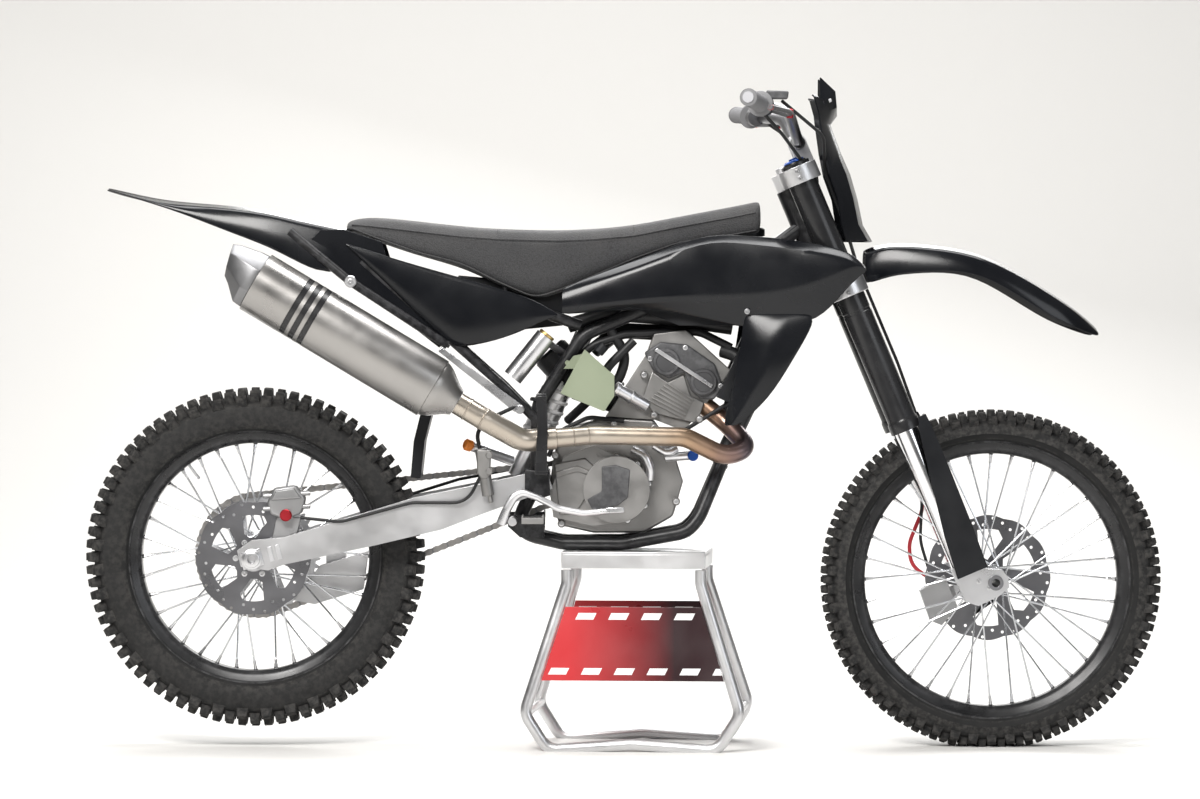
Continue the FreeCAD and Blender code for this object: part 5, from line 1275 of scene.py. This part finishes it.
# x, lower edge, top, share of the half width
SEAT_ROWS = [(-553, 1040, 1053, 0.80), (-540, 1036, 1060, 0.9), (-500, 1020, 1066, 0.97), (-408, 988, 1056, 1.03),
        (-321, 966, 1046, 1.08), (-250, 930, 1041, 1.1), (-176, 898, 1039, 1.1), (-127, 914, 1038, 1.07),
        (-60, 942, 1041, 1.0), (20, 976, 1048, 0.92), (110, 1008.3, 1066, 0.8),
        (220, 1024.3, 1086, 0.6), (262, 1032, 1095, 0.52), (274, 1035, 1096, 0.48)]


def seat_shoulder(row):
    """The corner where a row's top turns down into its side."""
    x, low, top, share = row
    return (x, SEAT_HALF * share + 0.5, top - min(20, 0.42 * (top - low)))


def make_seat(sizes):
    rows = []
    for row in SEAT_ROWS:
        x, low, top, share = row
        wide = SEAT_HALF * share
        _, _, edge = seat_shoulder(row)
        rows.append(both_halves([(x, 0, top + 2), (x, wide * 0.38, top + 1), (x, wide * 0.74, top - 4),
                (x, wide + 1, edge), (x, wide + 5, (edge + low) / 2), (x, wide + 7, low + 2), (x, wide * 0.5, low)]))
    count = len(rows[0])
    points = [p for row in rows for p in row]
    faces = quads(len(rows), count)
    faces += [tuple(range(count)), tuple(range(len(points) - 1, len(points) - count - 1, -1))]
    seat = placed("seat_padded", smoothed(mesh_piece(points, faces, 180), 3), "seat", ["seat"])
    seams = []
    for hand in (-1, 1):
        route = [Vector((p[0], hand * (p[1] - 0.8), p[2])) for p in (seat_shoulder(row) for row in SEAT_ROWS[1:-1])]
        seams.append(swept(eased(route, 200), ring(1.7, 8)))
        hem = [Vector((x, hand * (SEAT_HALF * share + 6.4), low + 7)) for x, low, top, share in SEAT_ROWS[1:-1]]
        seams.append(swept(eased(hem, 200), ring(1.3, 8)))
    for x, top, wide in ((-250, 1041, 60), (20, 1049.5, 50)):
        seams.append(swept(eased([(x, -wide - 18, top - 20), (x, -wide, top - 2), (x, 0, top + 0.6),
                (x, wide, top - 2), (x, wide + 18, top - 20)], 40), ring(1.2, 8)))
    joined_set("seat_seams", seams, "seat")


# Engine and exhaust
def face_plate(outline, y, thick, edge):
    """A raised pad on the engine's right side: its outer face at y, thick inwards."""
    return plate(outline, y, y + thick, edge)


def make_engine(sizes):
    dressed(["engine_cases"], "cast alloy", 6)
    dressed(["cylinder"], "cast alloy", 1.2)
    dressed(["head_cover"], "cast alloy", 3)
    dressed(["clutch_cover"], "cast alloy", 4)
    dressed(["ignition_cover"], "cast alloy", 3)
    right = Vector((0, -1, 0))
    clutch = Vector((-15, 0, 525))
    clutch_bolts = [flat_polar(clutch, 65, radians(-70 + 40 * i)) for i in range(9)]
    pieces = [face_plate(circle(clutch.x, clutch.z, 68, 48), -62, 8, 1.5),
            face_plate([(-139, 576), (-77, 588), (-52, 566), (-66, 520), (-96, 478), (-128, 474)], -92, 6, 3),
            face_plate([(-136, 560), (-92, 572), (-60, 560), (-62, 551), (-92, 561), (-134, 549)], -96, 6, 2)]
    pieces += [barrel((x, -50, z), (x, -76, z), 7.5, 0, 1.5, 18) for x, z in clutch_bolts]
    case_bolts = ((-136, 592), (-146, 530), (-124, 456), (-60, 600), (98, 600), (104, 500), (60, 648), (-20, 655))
    pieces += [barrel((x, -48, z), (x, -62, z), 8, 0, 1.5, 18) for x, z in case_bolts]
    joined_set("engine_case_detail", pieces, "cast alloy")
    insert = [(-44, 571), (-16, 574), (12, 565), (10, 536), (8, 510), (-12, 494), (-61, 482), (-73, 506), (-44, 522)]
    placed("clutch_insert", face_plate(insert, -107, 7, 2), "dark casting")
    ribbed = [face_plate([(36, 704), (56, 759), (88, 737), (119, 752), (133, 711), (160, 697), (146, 655),
            (58, 676)], -60, 8, 2)]
    for k in range(7):
        share = k / 6
        x0, z0 = 48 + 36 * share, 700 + 34 * share
        x1, z1 = 118 + 20 * share, 664 + 36 * share
        ribbed.append(face_plate([(x0, z0), (x1, z1), (x1 + 1.6, z1 + 3.2), (x0 + 1.6, z0 + 3.2)], -64, 5, 1))
    wall_bolts = ((40, 752), (150, 664), (60, 672))
    ribbed += [barrel((x, -52, z), (x, -66, z), 8, 0, 1.5, 18) for x, z in wall_bolts]
    joined_set("cam_drive_wall", ribbed, "cast alloy")
    cover = [face_plate([(40, 796), (72, 818), (126, 812), (181, 774), (198, 726), (178, 702), (152, 704),
            (133, 720), (120, 757), (90, 744), (58, 760)], -66, 14, 4)]
    for x, z, r in ((84, 778, 27), (158, 738, 27)):
        cover.append(lathe([(0, 0.01), (0, r), (8, r), (10, r - 2), (10, r - 7), (8.5, r - 8), (8.5, 0.01)],
                (x, -64, z), right, 36))
    joined_set("cam_cover_dark", cover, "dark casting")
    placed("cam_spine", face_plate([(60, 800), (66, 806), (178, 732), (173, 726)], -77, 5, 1), "machined alloy")
    cover_bolts = ((52, 784), (122, 806), (192, 730))
    spots = [((x, y, z), right) for y, rows in ((-76, clutch_bolts), (-62, case_bolts),
            (-66, wall_bolts + cover_bolts)) for x, z in rows]
    ignition = Vector((12, 72, 520))
    spots += [(polar(ignition, 52, pi * i / 3), (0, 1, 0)) for i in range(6)]
    placed("engine_bolts", bolts(spots, "bright steel", 5.5, 4), "bright steel")
    tubes = [pipe([(18, -72, 604), (42, -82, 592), (52, -82, 566), (50, -76, 545)], 9, 20, 20),
            pipe([(-12, -74, 723), (46, -60, 690)], 12, 20, 24),
            pipe([(60, -70, 612), (86, -74, 596), (104, -66, 606)], 8, 20, 18),
            pipe([(84, -50, 588), (137, -64, 592)], 9, 20, 18)]
    for start, end, r in (((-18, -75, 727), (-10, -73, 722), 14), ((12, -69, 709), (18, -67, 706), 13.6)):
        tubes.append(barrel(start, end, r, 0, 1, 24))
    joined_set("engine_pipes", tubes, "machined alloy")
    caps = [barrel((137, -62, 592), (137, -84, 592), 11, 0, 2, 24),
            barrel((160, -44, 612), (172, -56, 606), 12, 0, 2, 24)]
    joined_set("blue_caps", caps, "blue anodised")
    lines = [pipe([(-112, 20, 660), (-70, -40, 700), (-30, -58, 770), (20, -50, 820)], 9, 60, 14),
            pipe([(196, -30, 800), (228, -44, 790), (238, -60, 760), (232, -74, 740)], 14, 40, 18),
            pipe([(-150, -60, 590), (-128, -66, 640), (-70, -62, 668), (0, -60, 660)], 4.5, 40, 12),
            pipe([(118, -56, 640), (150, -62, 660), (214, -62, 700), (250, -70, 770)], 4, 60, 12),
            pipe([(-60, 30, 800), (-10, 10, 840), (70, -8, 836), (150, -4, 850)], 16, 60, 20),
            pipe([(-110, -10, 850), (-30, -24, 874), (80, -22, 866), (216, -14, 846)], 15, 60, 20),
            pipe([(-96, -36, 780), (-60, -44, 812), (0, -40, 832), (150, -34, 838), (214, -40, 806)], 8, 60, 16),
            pipe([(-60, -24, 700), (-10, -34, 740), (6, -36, 790), (-30, -40, 846)], 10, 60, 16)]
    joined_set("engine_hoses", lines, "hose")
    body = [barrel((-96, 0, 735), (-8, 0, 705), 33, 0, 3, 36),
            barrel((-150, 0, 800), (-92, 0, 737), 38, 0, 6, 36)]
    joined_set("intake", body, "satin plastic")


MUFFLER_FRONT, MUFFLER_BACK = Vector((-357, -190, 716)), Vector((-772, -190, 966))
GROOVES = (286, 306, 326)  # the muffler's bands, from its front along it


def make_exhaust(sizes):
    route = [(161, -34, 690), (204, -44, 655), (248, -88, 608), (200, -114, 590), (120, -122, 630), (-60, -126, 634),
            (-160, -140, 626)]
    head = swept(eased(route, 60), ring(19, 32), sharp=60)
    way = (Vector(route[-1]) - Vector(route[-2])).normalized()
    end = Vector(route[-1])
    collars = [barrel(end - way * d, end - way * (d - 3), 19.9, 0, 1, 36) for d in (62, 92)]
    collars.append(barrel(end - way * 26, end - way * 2, 22.3, 0, 1, 36))
    joined_set("header_bent", [head] + collars, "titanium", ["header_pipe"])
    front = MUFFLER_FRONT
    way = (MUFFLER_BACK - front).normalized()
    turn = axes_to(way, (0, -1, 0))
    mid = swept(eased([(-160, -140, 626), (-200, -145.6, 622.8), front - way * 90, front - way * 35], 60),
            ring(22.3, 32), sharp=60)
    rings = [barrel(front - way * d, front - way * (d - 3.5), 23.4, 0, 1, 36) for d in (60, 96)]
    joined_set("mid_pipe_bent", [mid] + rings, "titanium", ["mid_pipe"])
    can = [(-34, 24), (-34, 27), (-22, 33), (4, 52), (16, 58), (20, 58.5), (21, 61), (23, 61.8)]
    for start in GROOVES:
        can += [(start, 61.8), (start + 1, 60.4), (start + 11, 60.4), (start + 12, 61.8)]
    can += [(425.6, 61.8), (425.6, 20)]
    placed("muffler_can", lathe(can, front, way, 96, sharp=28), "muffler", ["muffler"])
    bands = [lathe([(start + 0.6, 60.0), (start + 0.6, 61.4), (start + 11.4, 61.4), (start + 11.4, 60.0)], front,
            way, 96) for start in GROOVES]
    joined_set("muffler_bands", bands, "leg black")
    points, sides = [], 8
    for along, reach, lift, slant in ((426, 61.5, 0, 0), (444, 60, 0, 0), (478, 42, -8, 8), (493, 33, -10, 11),
            (490, 27, -10, 11), (478, 24, -9, 9)):
        for u, v in ring(reach, sides, 0.5):
            points.append(front + way * (along + slant * v / 40) + turn @ Vector((u, v - lift, 0)))
    faces = quads(6, sides) + [tuple(range(sides)), tuple(range(5 * sides, 6 * sides))]
    placed("end_cap_facets", rounded(mesh_piece(points, faces, 20), 1.6), "cap", ["muffler_end_cap"])
    placed("outlet_ring", barrel(front + way * 468 + turn @ Vector((0, 9, 0)),
            front + way * 486 + turn @ Vector((0, 10, 0)), 18, 13, 1, 32), "dark steel")
    hanger = [plate([(-368, 799), (-360, 808), (-198, 690), (-204, 676), (-218, 680)], -104, -99, 1.5),
            barrel((-206, -97, 684), (-206, -112, 684), 9, 0, 1.5, 20)]
    joined_set("muffler_hanger", hanger, "machined alloy")


def make_controls(sizes):
    dressed(["footpegs"], "cast alloy", 1)
    teeth = [plate([(x - 2, 471), (x + 2, 471), (x + 1, 477), (x - 1, 477)], hand * y, hand * (y + 5), 0)
            for hand in (-1, 1) for x in (-200, -160) for y in range(102, 170, 9)]
    joined_set("footpeg_teeth", teeth, "cast alloy")
    route = [(-244, -147, 458), (-232, -148, 486), (-218, -148, 512), (-200, -148, 522), (-172, -148, 512),
            (-130, -148, 490), (-80, -148, 480), (-24, -148, 486)]
    arm = swept(eased(route, 40), lambda t: [(u * (4.2 + 1.5 * t), v * (9 - 3 * t)) for u, v in ring(1, 16)])
    tip = plate([(-36, 480), (0, 482), (0, 492), (-36, 492)], -156, -140, 2)
    pin = barrel((-220, -92.5, 464), (-220, -153, 464), 9, 0, 1.5, 24)
    joined_set("brake_pedal_forged", [arm, tip, pin], "machined alloy", ["brake_pedal"])
    dressed(["shift_lever"], "machined alloy", 1.5)
    dressed(["rear_master_cylinder"], "cast alloy", 1.5)
    blocks = [plate([(-291, 606), (-262, 604), (-264, 560), (-268, 548), (-282, 548), (-290, 560)],
            -140, -118, 3),
            barrel((-274, -128, 548), (-262, -130, 500), 4.5, 0, 1, 16)]
    blocks += [barrel((-266, -117, z), (-266, -143, z), 7, 0, 1.5, 18) for z in (594, 562)]
    joined_set("rear_master_detail", blocks, "cast alloy")
    lines = [pipe([(-284, -128, 604), (-292, -128, 640), (-262, -112, 668), (-214, -100, 690)], 4, 40, 12),
            pipe([(-282, -132, 556), (-310, -124, 500), (-420, -119, 500), (-560, -119, 462), (-640, -110, 470)],
            3.2, 60, 12)]
    joined_set("rear_brake_lines", lines, "hose")
    body = [plate([(-708, 500), (-694, 528), (-650, 534), (-630, 508), (-638, 478), (-672, 464), (-700, 474)],
            -90, -62, 5),
            plate([(-690, 470), (-640, 470), (-650, 430), (-700, 424)], -76, -66, 2),
            plate([(-700, 504), (-690, 522), (-654, 528), (-640, 508)], -94, -89, 2)]
    body += [barrel((-716, -84, z), (-622, -84, z + 6), 5, 0, 1, 18) for z in (486, 512)]
    joined_set("rear_caliper_cast", body, "caliper", ["rear_caliper"])
    knobs = [barrel((-670, -88, 474), (-670, -98, 474), 12, 0, 2, 24)]
    joined_set("caliper_cap", knobs, "red anodised")
    adjuster = [barrel((-222, -20, 580), (-302, -62, 610), 10, 0, 2, 24)]
    joined_set("shock_adjuster", adjuster, "machined alloy")
    placed("adjuster", barrel((-302, -62, 610), (-316, -69, 615), 12, 0, 3, 24), "orange")
    strap = [plate([(-173, 712), (-152, 712), (-150, 640), (-152, 562), (-175, 562), (-171, 640)], -170, -165, 1.5),
            plate([(-176, 576), (-150, 576), (-150, 556), (-176, 556)], -169, -118, 2),
            plate([(-173, 716), (-152, 716), (-152, 702), (-173, 702)], -169, -90, 2)]
    joined_set("pipe_guard", strap, "leg black")
    placed("mud_flap", plate([(-372, 712), (-398, 700), (-418, 620), (-424, 548), (-404, 546), (-396, 620)],
            -62, 62, 1.5), "satin plastic")
    posts = [plate([(-196, 566), (-148, 560), (-146, 514), (-166, 508), (-196, 518)], hand * 114.8, hand * 121, 2)
            for hand in (-1, 1)]
    joined_set("pivot_plates", posts, "frame paint")


def make_stand(sizes):
    turn = Matrix.Translation((0.028, 0, 0)) @ Matrix.Rotation(radians(-5), 4, "Z")
    route = [(-133, 103, 366), (-133, 103, 338.8), (-214, 140, 84), (-168, 140, 11.6), (0, 140, 23.5),
            (168, 140, 11.6), (214, 140, 84), (133, 103, 338.8), (133, 103, 366)]
    sides = [swept(eased([(x, y * hand, z) for x, y, z in route], 40), ring(11.5, 28), sharp=60)
            for hand in (-1, 1)]
    sides += [barrel((x * 0.97, -138, 84), (x * 0.97, 138, 84), 8, 0, 0.5, 20) for x in (-214, 214)]
    frame_piece = merged(sides)
    frame_piece.data.transform(turn)
    placed("stand_tubes", frame_piece, "stand alloy", ["stand_frame"])
    deck = [plate([(-143, 392), (-137, 396), (137, 396), (143, 392), (143, 402.6), (-143, 402.6)], -114, 114, 1.5)]
    for y0, y1 in ((-114, -109), (109, 114)):
        deck.append(plate([(-143, 369), (143, 369), (143, 398), (-143, 398)], y0, y1, 1.5))
    for x in (-143, 138):
        deck.append(plate([(x, 369), (x + 5, 369), (x + 5, 398), (x, 398)], -113, 113, 1.2))
    deck_piece = merged(deck)
    deck_piece.data.transform(turn)
    placed("stand_deck", deck_piece, "stand alloy", ["stand_platform"])
    dressed(["stand_panels"], "panel", 0.8)


# Studio
def plain_material(name, colour):
    """A dull material of one colour."""
    material = bpy.data.materials.new(name)
    material.use_nodes = True
    shader = material.node_tree.nodes["Principled BSDF"]
    shader.inputs["Base Color"].default_value = (*colour, 1)
    shader.inputs["Roughness"].default_value = 0.65
    shader.inputs["Specular IOR Level"].default_value = 0.2
    return material


def studio_paper(colour):
    """The backdrop's paper, which is clear when it is seen from behind."""
    material = plain_material("studio_paper", colour)
    tree = material.node_tree
    clear, mixer = node(tree, "ShaderNodeBsdfTransparent"), node(tree, "ShaderNodeMixShader")
    tree.links.new(node(tree, "ShaderNodeNewGeometry").outputs["Backfacing"], mixer.inputs[0])
    tree.links.new(tree.nodes["Principled BSDF"].outputs[0], mixer.inputs[1])
    tree.links.new(clear.outputs[0], mixer.inputs[2])
    tree.links.new(mixer.outputs[0], tree.nodes["Material Output"].inputs[0])
    return material


def area_light(name, place, aim, size, power, colour=(1, 1, 1)):
    """An area lamp at place that looks at aim."""
    data = bpy.data.lights.new(name, "AREA")
    data.shape = "RECTANGLE"
    data.size, data.size_y = size
    data.energy = power
    data.color = colour
    lamp = bpy.data.objects.new(name, data)
    lamp.location = place
    lamp.rotation_euler = (Vector(aim) - Vector(place)).to_track_quat("-Z", "Y").to_euler()
    bpy.context.scene.collection.objects.link(lamp)
    return lamp


def floor_piece(colour):
    """A pale floor that runs up into a backdrop with one curve."""
    rows = [(-9, 0), (1.6, 0), (2.6, 0.06), (3.3, 0.3), (3.8, 0.8), (4.0, 1.5), (4.05, 6)]
    points, faces = [], []
    for y, z in rows:
        for x in (-11, 11):
            points.append((x * 1000, y * 1000, z * 1000 - 0.5))
    for k in range(len(rows) - 1):
        faces.append((2 * k, 2 * k + 1, 2 * k + 3, 2 * k + 2))
    piece = mesh_piece(points, faces, 180)
    piece.data.flip_normals()
    smoothed(piece, 3)
    piece = applied(piece)
    piece.name = piece.data.name = "studio_floor"
    piece.data.materials.append(studio_paper(colour))
    return piece


def make_stage(settings):
    scene = bpy.context.scene
    floor = floor_piece(settings.floor_colour)
    world = bpy.data.worlds.new("studio")
    world.use_nodes = True
    links, nodes = world.node_tree.links, world.node_tree.nodes
    back = nodes["Background"]
    back.inputs["Color"].default_value = (1, 1, 1, 1)
    seen = nodes.new("ShaderNodeLightPath")
    level = nodes.new("ShaderNodeMix")
    level.inputs["A"].default_value = settings.world_light
    level.inputs["B"].default_value = 1.0
    links.new(seen.outputs["Is Camera Ray"], level.inputs["Factor"])
    links.new(level.outputs["Result"], back.inputs["Strength"])
    scene.world = world
    key = settings.key_light
    lamps = [area_light("key_light", (-1.4, -3.6, 3.4), (0, 0, 0.7), (2.2, 1.5), 235 * key, (1, 0.985, 0.96)),
            area_light("fill_light", (3.4, -3.8, 1.9), (0.2, 0, 0.6), (2.2, 2.2), 34 * key, (0.93, 0.96, 1)),
            area_light("top_light", (0, 0.2, 3.6), (0, 0, 0.6), (3.4, 1.2), 105 * key),
            area_light("rim_light", (0.6, 3.2, 2.4), (0, 0, 0.8), (3.0, 1.2), 70 * key)]
    data = bpy.data.cameras.new("photo_camera")
    data.lens = settings.lens
    data.sensor_width = 36
    camera = bpy.data.objects.new("photo_camera", data)
    camera.location = (-0.0475, -9.5, 0.86)
    camera.rotation_euler = (radians(90 - 0.953), 0, 0)
    data.clip_end = 60
    scene.collection.objects.link(camera)
    scene.camera = camera
    scene.view_settings.view_transform = "Standard"


# Add-on
def colour_value(name, description, default):
    return FloatVectorProperty(name=name, description=description, subtype="COLOR", default=default, min=0, max=1)


class BikeSizes(PropertyGroup):
    """The sizes that an owner would change."""
    front_pitches: IntProperty(name="Front tread pitches", description="Rows of knobs round the front tyre", default=54,
            min=30, max=80)
    rear_pitches: IntProperty(name="Rear tread pitches", description="Rows of knobs round the rear tyre", default=40,
            min=24, max=70)
    front_knob: FloatProperty(name="Front knob height", description="Height of the front tyre's knobs in millimetres",
            default=13.0, min=6, max=16)
    rear_knob: FloatProperty(name="Rear knob height", description="Height of the rear tyre's knobs in millimetres",
            default=16.0, min=8, max=20)
    spoke_radius: FloatProperty(name="Spoke radius", description="Radius of a wheel spoke in millimetres", default=1.9,
            min=1.2, max=3.0)


class BikeColours(PropertyGroup):
    """The colours that an owner would change."""
    frame_colour: colour_value("Frame", "Paint of the frame and subframe", (0.009, 0.009, 0.010))
    plastic_colour: colour_value("Plastic", "Colour of the bodywork", (0.004, 0.0045, 0.006))
    tyre_colour: colour_value("Tyres", "Colour of the tyre rubber", (0.011, 0.011, 0.0112))
    seat_colour: colour_value("Seat", "Colour of the seat cover", (0.024, 0.024, 0.026))
    stand_colour: colour_value("Stand", "Colour of the stand's aluminium", (0.62, 0.62, 0.63))
    panel_colour: colour_value("Stand panels", "Colour of the stand's side panels", (0.52, 0.03, 0.035))


class StudioSettings(PropertyGroup):
    """Light, lens and floor of the studio."""
    key_light: FloatProperty(name="Light", description="Strength of the studio lamps", default=1.15, min=0, max=4)
    world_light: FloatProperty(name="Surround", description="Strength of the light from all round", default=0.17,
            min=0, max=2)
    lens: FloatProperty(name="Lens", description="Focal length of the camera", default=142.5, min=20, max=300,
            unit="CAMERA")
    floor_colour: colour_value("Floor", "Colour of the floor", (0.80, 0.79, 0.77))


class BikeOperator:
    """What the operators of the bike share: each runs its makers with the sizes."""
    bl_options = {"REGISTER", "UNDO"}
    makers = ()

    def execute(self, context):
        for make in self.makers:
            make(context.scene.bike_sizes)
        return {"FINISHED"}


class BIKE_OT_finishes(BikeOperator, Operator):
    """Makes the shader groups and every material"""
    bl_idname = "bike.finishes"
    bl_label = "Finishes"

    def execute(self, context):
        make_groups()
        make_finishes(context.scene.bike_colours)
        return {"FINISHED"}


class BIKE_OT_tyres(BikeOperator, Operator):
    """Makes both knobbed tyres"""
    bl_idname = "bike.tyres"
    bl_label = "Tyres"
    makers = (make_tyres,)


class BIKE_OT_wheels(BikeOperator, Operator):
    """Makes the rims, spokes, hubs and brake discs"""
    bl_idname = "bike.wheels"
    bl_label = "Wheels"
    makers = (make_rims, make_spokes, make_hubs, make_discs)


class BIKE_OT_drive(BikeOperator, Operator):
    """Makes the chain and its sprockets"""
    bl_idname = "bike.drive"
    bl_label = "Chain and sprockets"
    makers = (make_chain, make_sprockets)


class BIKE_OT_fork(BikeOperator, Operator):
    """Makes the fork, its clamps, guards and front brake"""
    bl_idname = "bike.fork"
    bl_label = "Fork"
    makers = (make_fork, make_front_brake)


class BIKE_OT_handlebar(BikeOperator, Operator):
    """Makes the handlebar with its grips, levers and cables"""
    bl_idname = "bike.handlebar"
    bl_label = "Handlebar"
    makers = (make_handlebar,)


class BIKE_OT_plate(BikeOperator, Operator):
    """Makes the number plate and both fenders"""
    bl_idname = "bike.plate"
    bl_label = "Number plate and fenders"
    makers = (make_number_plate, make_fenders)


class BIKE_OT_frame(BikeOperator, Operator):
    """Makes the frame and subframe"""
    bl_idname = "bike.frame"
    bl_label = "Frame"
    makers = (make_frame, make_subframe)


class BIKE_OT_swingarm(BikeOperator, Operator):
    """Makes the swingarm and shock absorber"""
    bl_idname = "bike.swingarm"
    bl_label = "Swingarm and shock"
    makers = (make_swingarm, make_shock)


class BIKE_OT_bodywork(BikeOperator, Operator):
    """Makes the panels, shrouds, tank and radiators"""
    bl_idname = "bike.bodywork"
    bl_label = "Bodywork"
    makers = (make_panels, make_shrouds, make_radiators)


class BIKE_OT_seat(BikeOperator, Operator):
    """Makes the padded seat"""
    bl_idname = "bike.seat"
    bl_label = "Seat"
    makers = (make_seat,)


class BIKE_OT_engine(BikeOperator, Operator):
    """Makes the engine"""
    bl_idname = "bike.engine"
    bl_label = "Engine"
    makers = (make_engine,)


class BIKE_OT_exhaust(BikeOperator, Operator):
    """Makes the exhaust pipes and muffler"""
    bl_idname = "bike.exhaust"
    bl_label = "Exhaust"
    makers = (make_exhaust,)


class BIKE_OT_controls(BikeOperator, Operator):
    """Makes the footpegs, pedal, shift lever and rear brake"""
    bl_idname = "bike.controls"
    bl_label = "Foot controls"
    makers = (make_controls,)


class BIKE_OT_stand(BikeOperator, Operator):
    """Makes the paddock stand"""
    bl_idname = "bike.stand"
    bl_label = "Paddock stand"
    makers = (make_stand,)


class BIKE_OT_stage(BikeOperator, Operator):
    """Makes the floor, lights, surround and camera"""
    bl_idname = "bike.stage"
    bl_label = "Studio"

    def execute(self, context):
        make_stage(context.scene.bike_studio)
        return {"FINISHED"}


OPERATORS = (BIKE_OT_finishes, BIKE_OT_tyres, BIKE_OT_wheels, BIKE_OT_drive, BIKE_OT_fork, BIKE_OT_handlebar,
        BIKE_OT_plate, BIKE_OT_frame, BIKE_OT_swingarm, BIKE_OT_bodywork, BIKE_OT_seat, BIKE_OT_engine,
        BIKE_OT_exhaust, BIKE_OT_controls, BIKE_OT_stand, BIKE_OT_stage)


class BIKE_PT_build(Panel):
    """Sizes, colours and the steps of the bike"""
    bl_label = "Dirt bike"
    bl_idname = "BIKE_PT_build"
    bl_space_type = "VIEW_3D"
    bl_region_type = "UI"
    bl_category = "Dirt bike"

    def draw(self, context):
        scene = context.scene
        for group in (scene.bike_sizes, scene.bike_colours, scene.bike_studio):
            box = self.layout.box()
            for key in group.__annotations__:
                box.prop(group, key)
        column = self.layout.column(align=True)
        for operator in OPERATORS:
            column.operator(operator.bl_idname)


CLASSES = (BikeSizes, BikeColours, StudioSettings, *OPERATORS, BIKE_PT_build)


def register():
    for cls in CLASSES:
        bpy.utils.register_class(cls)
    bpy.types.Scene.bike_sizes = PointerProperty(type=BikeSizes)
    bpy.types.Scene.bike_colours = PointerProperty(type=BikeColours)
    bpy.types.Scene.bike_studio = PointerProperty(type=StudioSettings)


def unregister():
    del bpy.types.Scene.bike_sizes
    del bpy.types.Scene.bike_colours
    del bpy.types.Scene.bike_studio
    for cls in reversed(CLASSES):
        bpy.utils.unregister_class(cls)


def main():
    register()
    for operator in OPERATORS:
        group, name = operator.bl_idname.split(".")
        getattr(getattr(bpy.ops, group), name)()


if __name__ == "__main__":
    main()
